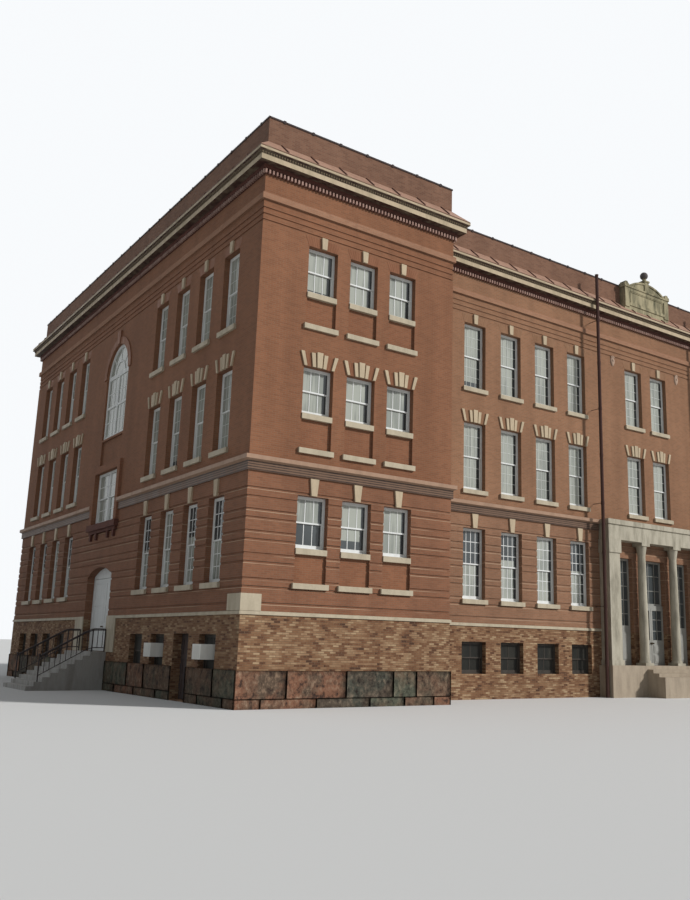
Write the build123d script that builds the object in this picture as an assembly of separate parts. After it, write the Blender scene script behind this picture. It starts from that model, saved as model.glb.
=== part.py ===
from build123d import *
import math
import os

# School building of brick and limestone at half size: three storeys over a basement, two end
# pavilions, and a set-back centre with a portico under a blank tablet.
# Lengths are millimetres of the half-size model. X runs along the street front, Y runs back and
# Z is up. The origin is at the centre of the plan, on the lowest ground line.

# Plan
building_length = 21500.0
building_depth = 12840.0
pavilion_width = 3946.0
centre_setback = 1054.0
wall_thickness = 250.0

# Levels above the lowest ground line, and heights above each floor
first_floor_level = 1400.0
storey_height = 2100.0
storey_count = 3
floor_thickness = 150.0
sill_heights = (440.0, 450.0, 410.0)
head_heights = (1800.0, 1800.0, 1760.0)
sash_sill_heights = (975.0, 1020.0, 960.0)
wall_top = 8585.0
roof_thickness = 140.0
basement_head = 1055.0
basement_sill = 465.0

# Windows
pavilion_window_width = 563.0
pavilion_window_gap = 259.0
pavilion_window_count = 3
centre_window_start = 1181.0
centre_window_width = 563.0
centre_window_gap = 422.0
centre_window_end = 150.0
bay_window_width = 585.0
bay_window_gap = 325.0
side_window_start = 777.0
side_window_width = 569.0
side_window_gap = 438.0
side_window_count = 4
basement_window_width = 600.0
window_reveal = 100.0
window_thickness = 60.0

# Sills, aprons and keystones
sill_height = 85.0
sill_projection = 45.0
sill_lug = 40.0
sash_sill_height = 90.0
sash_sill_projection = 20.0
apron_reveal = 45.0
keystone_bottom_width = 95.0
keystone_top_width = 135.0
keystone_height = 210.0
keystone_projection = 30.0

# Courses round the building: heights up the wall and projections from it
water_table_height = 55.0
water_table_projection = 20.0
string_course_bottom = 3485.0
string_cap_bottom = 3625.0
string_course_top = 3730.0
string_course_projection = 30.0
string_cap_projection = 80.0
belt_bottom = 7925.0
belt_height = 105.0
belt_projection = 40.0
bed_moulding_bottom = 8365.0
bed_moulding_projection = 55.0
cornice_bottom = 8510.0
cornice_projection = 225.0
cornice_soffit_projection = 175.0
lower_fascia_height = 95.0
upper_fascia_height = 70.0
pent_roof_rise = 240.0
parapet_setback = 25.0
parapet_thickness = 165.0
parapet_height = 670.0
coping_height = 30.0
coping_overhang = 12.0

# Stone base
plinth_height = 545.0
plinth_foot_height = 145.0
plinth_projection = 30.0
plinth_stone_length = 1000.0
plinth_joint = 6.0
cornerstone_width = 330.0
cornerstone_height = 250.0
cornerstone_projection = 12.0

# Stair bay in the middle of each side
side_door_width = 1450.0
side_door_threshold = 715.0
side_door_spring = 2215.0
side_door_rise = 170.0
door_recess = 150.0
door_frame_width = 45.0
door_frame_depth = 70.0
leaf_thickness = 30.0
leaf_clearance = 8.0
hinge_running_gap = 0.3
hinge_height = 90.0
jamb_stone_width = 500.0
pair_window_width = 1350.0
pair_window_sill = 3290.0
pair_window_head = 4375.0
pair_surround_width = 150.0
pair_shelf_height = 130.0
arch_window_width = 1300.0
arch_window_sill = 5135.0
arch_window_spring = 6500.0
stair_window_reveal = 40.0
arch_ring_width = 150.0
surround_projection = 60.0
arch_key_width = 150.0
arch_key_height = 300.0
arch_projection = 25.0
arch_course_gap = 10.0

# Basement door in the left side
basement_door_height = 1050.0
basement_door_threshold = 15.0

# Stoops at the side doors
stoop_width = 1640.0
stoop_landing = 300.0
stoop_going = 140.0
stoop_risers = 9
rail_height = 435.0
rail_bar = 22.0
rail_inset = 25.0
baluster_spacing = 110.0

# Stairwells and entry landings inside
stairwell_depth = 1700.0
stairwell_width = 1750.0
floor_joint = 12.0
landing_thickness = 100.0
vestibule_width = 2000.0
vestibule_depth = 1600.0

# Portico
portico_width = 3550.0
portico_projection = 275.0
pier_width = 345.0
column_spacing = 1100.0
column_diameter = 200.0
column_neck_diameter = 170.0
column_plinth = 270.0
column_base_height = 110.0
column_capital_height = 290.0
platform_top = 650.0
platform_margin = 85.0
entablature_bottom = 3300.0
entablature_overhang = 30.0
entry_step_count = 4
entry_step_going = 150.0
entry_step_rise = 75.0
entry_steps_width = 1500.0
front_door_width = 860.0
front_door_height = 1250.0
front_transom_bar = 60.0
front_transom_head = 2950.0
side_panel_width = 560.0

# Tablet on the cornice, and its ball
tablet_width = 1600.0
tablet_depth = 165.0
tablet_height = 640.0
tablet_cap_height = 45.0
tablet_cap_overhang = 25.0
pediment_rise = 210.0
pedestal_width = 150.0
pedestal_height = 350.0
ball_radius = 95.0

# Shields, rainwater pipes and window air conditioners
shield_spacing = 2330.0
shield_centre_level = 7450.0
shield_width = 200.0
shield_height = 280.0
shield_thickness = 45.0
pipe_radius = 32.0
pipe_offset = 262.0
pipe_distance = 1925.0
pipe_bracket_height = 40.0
pipe_bracket_width = 24.0
conditioner_width = 300.0
conditioner_height = 230.0
conditioner_projection = 170.0
conditioner_top = 905.0

# Worked out from the sizes above
half_length = building_length / 2
half_depth = building_depth / 2
front_face = -half_depth
centre_face = front_face + centre_setback
pavilion_edge = -half_length + pavilion_width
cornice_top = wall_top + roof_thickness
parapet_top = cornice_top + parapet_height
portico_half = portico_width / 2
column_distance = column_spacing / 2
floor_levels = [first_floor_level + storey_height * storey for storey in range(storey_count)]
sill_levels = [floor + rise for floor, rise in zip(floor_levels, sill_heights)]
head_levels = [floor + rise for floor, rise in zip(floor_levels, head_heights)]
sash_sill_levels = [floor + rise for floor, rise in zip(floor_levels, sash_sill_heights)]

# Facade planes: X to the right as seen from outside, Y up, Z out of the wall
pavilion_plane = Plane(origin=(0, front_face, 0), x_dir=(1, 0, 0), z_dir=(0, -1, 0))
centre_plane = Plane(origin=(0, centre_face, 0), x_dir=(1, 0, 0), z_dir=(0, -1, 0))
left_plane = Plane(origin=(-half_length, 0, 0), x_dir=(0, -1, 0), z_dir=(-1, 0, 0))
return_plane = Plane(origin=(pavilion_edge, 0, 0), x_dir=(0, 1, 0), z_dir=(1, 0, 0))


def left_and_right(*solids):
    """Solids of the left half with their mirror images in the right half."""
    return list(solids) + [mirror(solid, about=Plane.YZ) for solid in solids]


def front_and_back(*solids):
    """Solids of the front half with their mirror images in the back half."""
    return list(solids) + [mirror(solid, about=Plane.XZ) for solid in solids]


def all_corners(*solids):
    """Solids of the front left quarter with their images in the other three."""
    return front_and_back(*left_and_right(*solids))


def save(name, solids):
    """Write one sub-part as a STEP file."""
    label = name.replace("_", " ")
    compound = Compound(children=list(solids), label=label)
    export_step(compound, f"parts/{name}.step")


def rectangle(start, end, bottom, top):
    """Upright rectangle between two distances along a facade and two levels."""
    middle = Pos((start + end) / 2, (bottom + top) / 2)
    return middle * Rectangle(end - start, top - bottom)


def opening(centre, width, bottom, top):
    """Rectangular opening about a centre line."""
    return rectangle(centre - width / 2, centre + width / 2, bottom, top)


def slab(plane, outline, thickness, depth=0.0):
    """Plate behind a facade plane, with its outer face at a depth into the wall."""
    return extrude(plane.offset(-depth) * outline, amount=-thickness)


def trim(plane, outline, projection, depth=0.0):
    """Plate that starts at a depth into the wall and stands proud of its face."""
    return extrude(plane.offset(-depth) * outline, amount=projection + depth)


def wall(plane, start, end, bottom, top, openings, thickness=wall_thickness):
    """Straight wall with its openings cut through."""
    outline = rectangle(start, end, bottom, top)
    for hole in openings:
        outline -= hole
    return slab(plane, outline, thickness)


def block(x_range, y_range, z_range):
    """Box between two values on each axis."""
    size = [high - low for low, high in (x_range, y_range, z_range)]
    centre = [(high + low) / 2 for low, high in (x_range, y_range, z_range)]
    return Pos(*centre) * Box(*size)


def spaced(start, width, gap, count):
    """Centre lines of a row of windows."""
    return [start + width / 2 + (width + gap) * index for index in range(count)]


def storey_openings(centres, width):
    """Openings of a row of windows on every storey, down to the underside of the sills."""
    holes = []
    for sill, head in zip(sill_levels, head_levels):
        holes += [opening(centre, width, sill - sill_height, head) for centre in centres]
    return holes


def basement_openings(centres):
    return [opening(centre, basement_window_width, basement_sill, basement_head) for centre in centres]


def arched(width, bottom, spring, rise):
    """Opening with a round or segmental head."""
    half = width / 2
    crown = spring + rise
    head = ThreePointArc((half, spring), (0, crown), (-half, spring))
    sides = Polyline((-half, spring), (-half, bottom), (half, bottom), (half, spring))
    return make_face(Curve() + [head, sides])


# Window rows, as centre lines along each facade
pavilion_row_width = (
    pavilion_window_count * pavilion_window_width + (pavilion_window_count - 1) * pavilion_window_gap
)
pavilion_row_start = -half_length + (pavilion_width - pavilion_row_width) / 2
pavilion_centres = spaced(
    pavilion_row_start, pavilion_window_width, pavilion_window_gap, pavilion_window_count
)
centre_row_room = -pavilion_edge - centre_window_start - pipe_distance - centre_window_end
centre_window_count = int(
    (centre_row_room + centre_window_gap) / (centre_window_width + centre_window_gap)
)
centre_centres = spaced(
    pavilion_edge + centre_window_start, centre_window_width, centre_window_gap, centre_window_count
)
bay_centre = (bay_window_width + bay_window_gap) / 2
side_centres = [
    half_depth - distance
    for distance in spaced(side_window_start, side_window_width, side_window_gap, side_window_count)
]
basement_door_centre = side_centres[1]


def mirrored(centres):
    return list(centres) + [-centre for centre in centres]


def side_door_outline():
    return arched(side_door_width, side_door_threshold, side_door_spring, side_door_rise)


def arch_window_outline():
    return arched(arch_window_width, arch_window_sill, arch_window_spring, arch_window_width / 2)


def pair_window_outline():
    return opening(0, pair_window_width, pair_window_sill, pair_window_head)


# Walls
def pavilion_walls():
    """Street and back faces of the pavilions, between the side walls."""
    inner = pavilion_edge
    outer = -half_length + wall_thickness
    holes = storey_openings(pavilion_centres, pavilion_window_width)
    return all_corners(wall(pavilion_plane, outer, inner, 0, wall_top, holes))


def pavilion_returns():
    """Short walls that run back from the pavilions to the centre."""
    return all_corners(wall(return_plane, front_face + wall_thickness, centre_face, 0, wall_top, []))


def side_wall_strips():
    """Side walls in straight strips, split beside and over the two doorways of the left side."""
    holes = storey_openings(mirrored(side_centres), side_window_width)
    left_holes = holes + basement_openings(
        [centre for centre in mirrored(side_centres) if centre != basement_door_centre]
    )
    door_edge = side_door_width / 2
    strip_near = basement_door_centre - basement_window_width / 2
    strip_far = basement_door_centre + basement_window_width / 2
    back = wall(left_plane, -half_depth, -door_edge, 0, wall_top, left_holes)
    middle = wall(left_plane, door_edge, strip_near, 0, wall_top, left_holes)
    corner = wall(left_plane, strip_far, half_depth, 0, wall_top, left_holes)
    return back, middle, corner


def stair_bay_walls():
    """Side walls over the side doors, with the paired and the arched stair window."""
    edge = side_door_width / 2
    upper = wall(
        left_plane, -edge, edge, side_door_spring, wall_top,
        [side_door_outline(), pair_window_outline(), arch_window_outline()],
    )
    lower = wall(left_plane, -edge, edge, 0, side_door_threshold, [])
    return left_and_right(upper, lower)


def basement_door_bay_walls():
    """Side walls over the basement door on the left and round its matching window on the right."""
    start = basement_door_centre - basement_window_width / 2
    end = basement_door_centre + basement_window_width / 2
    holes = storey_openings([basement_door_centre], side_window_width)
    door_head = basement_door_threshold + basement_door_height
    over_door = wall(left_plane, start, end, door_head, wall_top, holes)
    threshold = wall(left_plane, start, end, 0, basement_door_threshold, [])
    over_window = mirror(wall(left_plane, start, end, basement_head, wall_top, holes), about=Plane.YZ)
    under_window = mirror(wall(left_plane, start, end, 0, basement_sill, []), about=Plane.YZ)
    return [over_door, threshold, over_window, under_window]


def centre_front_wall():
    """Set-back street wall between the pavilions, with the entrance in its middle."""
    holes = storey_openings(mirrored(centre_centres), centre_window_width)
    upper_bay = storey_openings([-bay_centre, bay_centre], bay_window_width)[2:]
    door = opening(0, front_door_width, platform_top, front_transom_head)
    panels = [
        opening(side * panel_centre, side_panel_width, platform_top, front_transom_head)
        for side in (-1, 1)
    ]
    basement = basement_openings(mirrored(centre_centres))
    return wall(
        centre_plane, pavilion_edge, -pavilion_edge, 0, wall_top,
        holes + upper_bay + basement + [door] + panels,
    )


def centre_back_wall():
    """Set-back wall of the garden side, with windows at every storey."""
    holes = storey_openings(mirrored(centre_centres), centre_window_width)
    bay = storey_openings([-bay_centre, bay_centre], bay_window_width)
    basement = basement_openings(mirrored(centre_centres) + [-bay_centre, bay_centre])
    front = wall(centre_plane, pavilion_edge, -pavilion_edge, 0, wall_top, holes + bay + basement)
    return mirror(front, about=Plane.XZ)


# Windows: each closes its opening as one unit, with the upper sash in front of the lower one
def window_unit(plane, centre, width, bottom, top):
    return slab(plane, opening(centre, width, bottom, top), window_thickness, window_reveal)


def storey_windows(storey):
    """All windows of one storey."""
    sill, head = sill_levels[storey], head_levels[storey]
    sash_sill = sash_sill_levels[storey]
    units = all_corners(
        *[window_unit(pavilion_plane, c, pavilion_window_width, sash_sill, head) for c in pavilion_centres],
        *[window_unit(centre_plane, c, centre_window_width, sill, head) for c in centre_centres],
        *[window_unit(left_plane, c, side_window_width, sill, head) for c in side_centres],
    )
    bay = window_unit(centre_plane, -bay_centre, bay_window_width, sill, head)
    bay_units = all_corners(bay)
    if storey == 0:
        bay_units = bay_units[2:]
    return units + bay_units


def basement_windows():
    """Basement windows of the centre and the sides, less the one that is a door."""
    width = basement_window_width
    sides = [
        window_unit(left_plane, c, width, basement_sill, basement_head) for c in side_centres
    ]
    centre = [
        window_unit(centre_plane, c, width, basement_sill, basement_head) for c in centre_centres
    ]
    bay = window_unit(centre_plane, -bay_centre, width, basement_sill, basement_head)
    units = all_corners(*centre)
    units += left_and_right(mirror(bay, about=Plane.XZ))
    units += [side for index, side in enumerate(sides) if index != 1]
    units += [mirror(side, about=Plane.YZ) for side in sides]
    units += left_and_right(*[mirror(side, about=Plane.XZ) for side in sides])
    return units


def stair_windows():
    """Paired window over each side door and the arched window over it, set near the wall's face."""
    pair = slab(left_plane, pair_window_outline(), window_thickness, stair_window_reveal)
    arch = slab(left_plane, arch_window_outline(), window_thickness, stair_window_reveal)
    return left_and_right(pair, arch)


# Stone sills, aprons and keystones
def sill(plane, centre, width, top, depth=window_reveal + window_thickness):
    """Sill stone: its seat fills the opening and its lugs lap the wall on both sides."""
    bottom = top - sill_height
    seat = trim(plane, opening(centre, width, bottom, top), sill_projection, depth)
    nosing = trim(plane, opening(centre, width + 2 * sill_lug, bottom, top), sill_projection)
    return seat + nosing


def window_sills():
    solids = []
    for storey, top in enumerate(sill_levels):
        solids += all_corners(
            *[sill(pavilion_plane, c, pavilion_window_width, top) for c in pavilion_centres],
            *[sill(centre_plane, c, centre_window_width, top) for c in centre_centres],
            *[sill(left_plane, c, side_window_width, top) for c in side_centres],
        )
        bay = all_corners(sill(centre_plane, -bay_centre, bay_window_width, top))
        solids += bay[2:] if storey == 0 else bay
    return solids


def sash_sills():
    """Upper sills of the pavilion windows, under the sashes."""
    solids = []
    for top in sash_sill_levels:
        for centre in pavilion_centres:
            outline = opening(centre, pavilion_window_width, top - sash_sill_height, top)
            depth = window_reveal + window_thickness
            solids.append(trim(pavilion_plane, outline, sash_sill_projection, depth))
    return all_corners(*solids)


def brick_aprons():
    """Brick panels between the two sills of each pavilion window."""
    solids = []
    for low, high in zip(sill_levels, sash_sill_levels):
        for centre in pavilion_centres:
            outline = opening(centre, pavilion_window_width, low, high - sash_sill_height)
            thickness = window_reveal + window_thickness - apron_reveal
            solids.append(slab(pavilion_plane, outline, thickness, apron_reveal))
    return all_corners(*solids)


def keystone(plane, centre, bottom):
    """Wedge-shaped stone over the middle of a window."""
    top = bottom + keystone_height
    low, high = keystone_bottom_width / 2, keystone_top_width / 2
    outline = make_face(Polyline(
        (centre - low, bottom), (centre + low, bottom), (centre + high, top), (centre - high, top),
        close=True,
    ))
    return trim(plane, outline, keystone_projection)


def keystones():
    solids = []
    for storey, head in enumerate(head_levels):
        solids += all_corners(
            *[keystone(pavilion_plane, c, head) for c in pavilion_centres],
            *[keystone(centre_plane, c, head) for c in centre_centres],
            *[keystone(left_plane, c, head) for c in side_centres],
        )
        bay = all_corners(keystone(centre_plane, -bay_centre, head))
        solids += bay[2:] if storey == 0 else bay
    return solids


# Courses that follow the plan with mitred corners
def mitred_run(profile, start, end, start_turn, end_turn):
    """Straight run of a profile, outside on its right; a turn is 1 at outer and -1 at inner corners."""
    start_point, end_point = Vector(*start), Vector(*end)
    along = (end_point - start_point).normalized()
    outward = Vector(along.Y, -along.X)
    reach = 2 * cornice_projection
    section = Plane(origin=start_point - along * reach, x_dir=outward, z_dir=-along)
    length = (end_point - start_point).length
    bar = extrude(section * profile, amount=-(length + 2 * reach))
    bar = split(bar, bisect_by=Plane(origin=start_point, z_dir=along + outward * start_turn))
    return split(bar, bisect_by=Plane(origin=end_point, z_dir=outward * end_turn - along))


def street_runs(profile):
    """Runs along the street and back faces."""
    pavilion = mitred_run(profile, (-half_length, front_face), (pavilion_edge, front_face), 1, 1)
    centre = mitred_run(profile, (pavilion_edge, centre_face), (-pavilion_edge, centre_face), -1, -1)
    return all_corners(pavilion) + front_and_back(centre)


def side_runs(profile):
    """Runs along the sides and the returns of the pavilions."""
    side = mitred_run(profile, (-half_length, half_depth), (-half_length, front_face), 1, 1)
    short = mitred_run(profile, (pavilion_edge, front_face), (pavilion_edge, centre_face), 1, -1)
    return left_and_right(side) + all_corners(short)


def ring(profile):
    """One solid all round the building."""
    runs = street_runs(profile) + side_runs(profile)
    return runs[0].fuse(*runs[1:]).clean()


def side_door_cut():
    """Room for the doorway through what runs along the side walls."""
    edge = side_door_width / 2
    reach = half_length + 4 * cornice_projection
    return block((-reach, reach), (-edge, edge), (side_door_threshold, side_door_spring))


def water_table():
    """Limestone band with a sloping top, stopped at the jamb stones of the side doors."""
    top = first_floor_level
    bottom = top - water_table_height
    slope = water_table_projection / 2
    profile = make_face(Polyline(
        (0, bottom), (water_table_projection, bottom), (water_table_projection, top - slope),
        (0, top), close=True,
    ))
    gap = side_door_width / 2 + jamb_stone_width
    reach = half_length + cornice_projection
    doorway = block((-reach, reach), (-gap, gap), (bottom - 1, top + 1))
    portico = block(
        (-portico_half, portico_half), (centre_face - portico_projection, centre_face),
        (bottom - 1, top + 1),
    )
    return (ring(profile) - doorway - portico).solids()


def string_course():
    """Brick course with a moulded stone cap, broken by the paired windows and the portico."""
    cap_slope = string_cap_projection / 3
    profile = make_face(Polyline(
        (0, string_course_bottom), (string_course_projection, string_course_bottom),
        (string_course_projection, string_cap_bottom),
        (string_cap_projection, string_cap_bottom + cap_slope),
        (string_cap_projection, string_course_top - cap_slope / 2), (0, string_course_top), close=True,
    ))
    gap = pair_window_width / 2 + pair_surround_width
    reach = half_length + cornice_projection
    windows = block((-reach, reach), (-gap, gap), (string_course_bottom - 1, string_course_top + 1))
    edge = portico_half + entablature_overhang
    portico = block(
        (-edge, edge), (centre_face - portico_projection, centre_face),
        (string_course_bottom - 1, string_course_top + 1),
    )
    return (ring(profile) - windows - portico).solids()


def belt_course():
    """Plain projecting course under the frieze, stopped beside an arch that reaches it."""
    profile = rectangle(0, belt_projection, belt_bottom, belt_bottom + belt_height)
    reach = half_length + cornice_projection
    gap = arch_window_width / 2 + arch_ring_width + arch_course_gap
    key_top = arch_window_spring + arch_window_width / 2 + arch_key_height
    arches = block((-reach, reach), (-gap, gap), (arch_window_spring, key_top + arch_course_gap))
    return (ring(profile) - arches).solids()


def bed_moulding():
    """Stepped brick moulding between the frieze and the soffit."""
    middle = (bed_moulding_bottom + cornice_bottom) / 2
    profile = make_face(Polyline(
        (0, bed_moulding_bottom), (bed_moulding_projection / 2, bed_moulding_bottom),
        (bed_moulding_projection / 2, middle), (bed_moulding_projection, middle),
        (bed_moulding_projection, cornice_bottom), (0, cornice_bottom), close=True,
    ))
    return [ring(profile)]


def cornice_profile():
    """Soffit, lower fascia, hollow moulding and upper fascia."""
    lower_top = cornice_bottom + lower_fascia_height
    upper_bottom = cornice_top - upper_fascia_height
    hollow = (cornice_soffit_projection + cornice_projection) / 2
    middle = (lower_top + upper_bottom) / 2
    sunk = cornice_soffit_projection + (hollow - cornice_soffit_projection) / 4
    outline = Polyline(
        (cornice_soffit_projection, lower_top), (cornice_soffit_projection, cornice_bottom),
        (0, cornice_bottom), (0, cornice_top), (cornice_projection, cornice_top),
        (cornice_projection, upper_bottom), (hollow, upper_bottom),
    )
    moulding = ThreePointArc((hollow, upper_bottom), (sunk, middle), (cornice_soffit_projection, lower_top))
    return make_face(Curve() + [outline, moulding])


def pent_roof_profile():
    """Metal-covered slope from the cornice up to the parapet."""
    return make_face(Polyline(
        (cornice_projection, cornice_top), (-parapet_setback, cornice_top),
        (-parapet_setback, cornice_top + pent_roof_rise), close=True,
    ))


def parapet_profile():
    return rectangle(
        -parapet_setback - parapet_thickness, -parapet_setback, cornice_top, parapet_top
    )


def coping():
    inner = -parapet_setback - parapet_thickness - coping_overhang
    outer = -parapet_setback + coping_overhang
    band = ring(rectangle(inner, outer, parapet_top, parapet_top + coping_height))
    half = tablet_width / 2 + tablet_cap_overhang
    behind = centre_face + parapet_setback
    tablet_back = block(
        (-half, half), (behind - tablet_depth, behind), (parapet_top - 1, parapet_top + coping_height + 1)
    )
    return [band - tablet_back]


def tablet_room():
    """Space that the tablet takes out of the slope behind it."""
    front = centre_face + parapet_setback - tablet_depth
    return block(
        (-tablet_width / 2, tablet_width / 2), (front, centre_face + parapet_setback),
        (cornice_top, cornice_top + pent_roof_rise),
    )


# Stone base
def plinth_outline(start, end):
    """Low foot course and tall upper course of one run, with open joints between the stones."""
    count = max(1, round((end - start) / plinth_stone_length))
    pitch = (end - start) / count
    stones = []
    for bottom, top, shift in (
        (0, plinth_foot_height, pitch / 2), (plinth_foot_height, plinth_height + plinth_joint, 0),
    ):
        edges = [start] + [start + shift + pitch * index for index in range(count + 1)] + [end]
        edges = sorted({min(max(edge, start), end) for edge in edges})
        for left, right in zip(edges, edges[1:]):
            if right - left > 2 * plinth_joint:
                stones.append(rectangle(
                    left + plinth_joint / 2, right - plinth_joint / 2, bottom, top - plinth_joint,
                ))
    return stones


def plinth_stones():
    """Large stones along the foot of the pavilions, their returns and the sides."""
    sides = []
    for start, end in side_plinth_runs:
        sides += [trim(left_plane, stone, plinth_projection) for stone in plinth_outline(start, end)]
    fronts = [
        trim(pavilion_plane, stone, plinth_projection)
        for stone in plinth_outline(
            -half_length - plinth_projection + plinth_joint, pavilion_edge + plinth_projection
        )
    ]
    returns = [
        trim(return_plane, stone, plinth_projection) for stone in plinth_outline(front_face, centre_face)
    ]
    solids = all_corners(*fronts, *returns)
    solids += left_and_right(*sides)
    return solids


def cornerstone():
    """Dated stone's plain block at the near corner, just above the water table."""
    outline = rectangle(
        -half_length - cornerstone_projection, -half_length + cornerstone_width,
        first_floor_level, first_floor_level + cornerstone_height,
    )
    return [trim(pavilion_plane, outline, cornerstone_projection)]


# Floors and roofs
floor_edge_x = half_length - wall_thickness
floor_edge_y = -centre_face - wall_thickness
stairwell_edge = floor_edge_x - stairwell_depth
slab_levels = [floor_thickness] + floor_levels


def centre_floors():
    """Slabs between the two stairwells; the first one is open over the front entry."""
    solids = []
    for level in slab_levels:
        plate = block(
            (-stairwell_edge, stairwell_edge), (-floor_edge_y, floor_edge_y),
            (level - floor_thickness, level),
        )
        if level == first_floor_level:
            plate -= block(
                (-vestibule_width / 2, vestibule_width / 2),
                (-floor_edge_y, -floor_edge_y + vestibule_depth),
                (level - floor_thickness, level),
            )
        solids.append(plate)
    return solids


def side_floors():
    """Slabs beside the stairwells."""
    solids = []
    for level in slab_levels:
        edge = stairwell_width / 2 if level in floor_levels else floor_joint / 2
        solids += all_corners(block(
            (-floor_edge_x, -stairwell_edge), (-floor_edge_y, -edge), (level - floor_thickness, level)
        ))
    return solids


def pavilion_floors():
    """Slabs in the parts of the pavilions that stand forward of the centre."""
    return all_corners(*[
        block(
            (-floor_edge_x, pavilion_edge - wall_thickness),
            (front_face + wall_thickness, -floor_edge_y), (level - floor_thickness, level),
        )
        for level in slab_levels
    ])


def entry_landings():
    """Floors inside the side doors and the front doors."""
    half = stairwell_width / 2
    side = block(
        (-floor_edge_x, -stairwell_edge), (-half, half),
        (side_door_threshold - landing_thickness, side_door_threshold),
    )
    front = block(
        (-vestibule_width / 2, vestibule_width / 2),
        (-floor_edge_y, -floor_edge_y + vestibule_depth),
        (platform_top - landing_thickness, platform_top),
    )
    return left_and_right(side) + [front]


def pavilion_roofs():
    return left_and_right(block(
        (-half_length, pavilion_edge), (front_face, -front_face), (wall_top, cornice_top)
    ))


def centre_roof():
    return [block((pavilion_edge, -pavilion_edge), (centre_face, -centre_face), (wall_top, cornice_top))]


# Stair bays
def stair_window_surrounds():
    """Raised frame with a shelf round each paired window, and the arch over the tall one."""
    half = pair_window_width / 2
    outer = rectangle(
        -half - pair_surround_width, half + pair_surround_width,
        pair_window_sill - pair_shelf_height, pair_window_head + pair_surround_width,
    )
    frame = trim(left_plane, outer - pair_window_outline(), surround_projection)
    radius = arch_window_width / 2
    ring_outline = Circle(radius + arch_ring_width) - Circle(radius)
    upper_half = rectangle(-2 * radius, 2 * radius, 0, 2 * radius)
    key_low = radius + arch_ring_width / 4
    key = rectangle(-arch_key_width / 2, arch_key_width / 2, key_low, radius + arch_key_height)
    arch = (ring_outline & upper_half) + key
    arch = trim(left_plane, Pos(0, arch_window_spring) * arch, arch_projection)
    return left_and_right(frame, arch)


def door_jamb_stones():
    """Limestone blocks beside the side doors, from the water table down to the threshold."""
    edge = side_door_width / 2
    outline = rectangle(edge, edge + jamb_stone_width, side_door_threshold, first_floor_level)
    stone = trim(left_plane, outline, water_table_projection)
    return all_corners(stone)


def side_door_frames():
    """Jambs and head of each side doorway, and the panel that fills its arch."""
    half = side_door_width / 2
    clear = half - door_frame_width
    head_bottom = side_door_spring - door_frame_width
    posts = rectangle(-half, half, side_door_threshold, side_door_spring)
    posts -= rectangle(-clear, clear, side_door_threshold, head_bottom)
    arch = side_door_outline() & rectangle(-half, half, side_door_spring, side_door_spring + side_door_rise)
    return left_and_right(slab(left_plane, posts + arch, door_frame_depth, door_recess))


leaf_half = side_door_width / 2 - door_frame_width - leaf_clearance
leaf_bottom = side_door_threshold + leaf_clearance
leaf_top = side_door_spring - door_frame_width - leaf_clearance


def door_leaf(start, end, bottom, top, hinge_edge):
    """Door leaf with a raised edge round three sunk panels, and hinge knuckles along one edge."""
    body = slab(left_plane, rectangle(start, end, bottom, top), leaf_thickness, door_recess)
    rail = (end - start) / 7
    panel_height = (top - bottom - 4 * rail) / 3
    for index in range(3):
        low = bottom + rail + index * (panel_height + rail)
        panel = rectangle(start + rail, end - rail, low, low + panel_height)
        body -= slab(left_plane, panel, leaf_thickness / 4, door_recess)
        level = low + panel_height / 2
        knuckle = Rot(X=90) * Cylinder(leaf_clearance - hinge_running_gap, hinge_height)
        body += left_plane.location * Pos(hinge_edge, level, -door_recess) * knuckle
    return body


def side_door_front_leaf():
    """Leaf nearer the street."""
    return door_leaf(leaf_clearance / 2, leaf_half, leaf_bottom, leaf_top, leaf_half)


def side_door_back_leaf():
    return door_leaf(-leaf_half, -leaf_clearance / 2, leaf_bottom, leaf_top, -leaf_half)


def basement_door():
    """Plain leaf in the left side's basement doorway, hung on the edge nearer the stoop."""
    half = basement_window_width / 2 - leaf_clearance
    low = basement_door_threshold + leaf_clearance
    high = basement_door_threshold + basement_door_height - leaf_clearance
    near, far = basement_door_centre - half, basement_door_centre + half
    return door_leaf(near, far, low, high, near)


# Stoops
stoop_riser = side_door_threshold / stoop_risers
stoop_depth = stoop_landing + (stoop_risers - 1) * stoop_going


def stoops():
    """Masonry steps that climb to each side door."""
    points = [(0, 0), (0, side_door_threshold), (stoop_landing, side_door_threshold)]
    for step in range(1, stoop_risers):
        level = side_door_threshold - step * stoop_riser
        run = stoop_landing + (step - 1) * stoop_going
        points += [(run, level), (run + stoop_going, level)]
    points.append((stoop_depth, 0))
    profile = Plane(origin=(-half_length, stoop_width / 2, 0), x_dir=(-1, 0, 0), z_dir=(0, 1, 0))
    solid = extrude(profile * make_face(Polyline(*points, close=True)), amount=-stoop_width)
    return left_and_right(solid)


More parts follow.
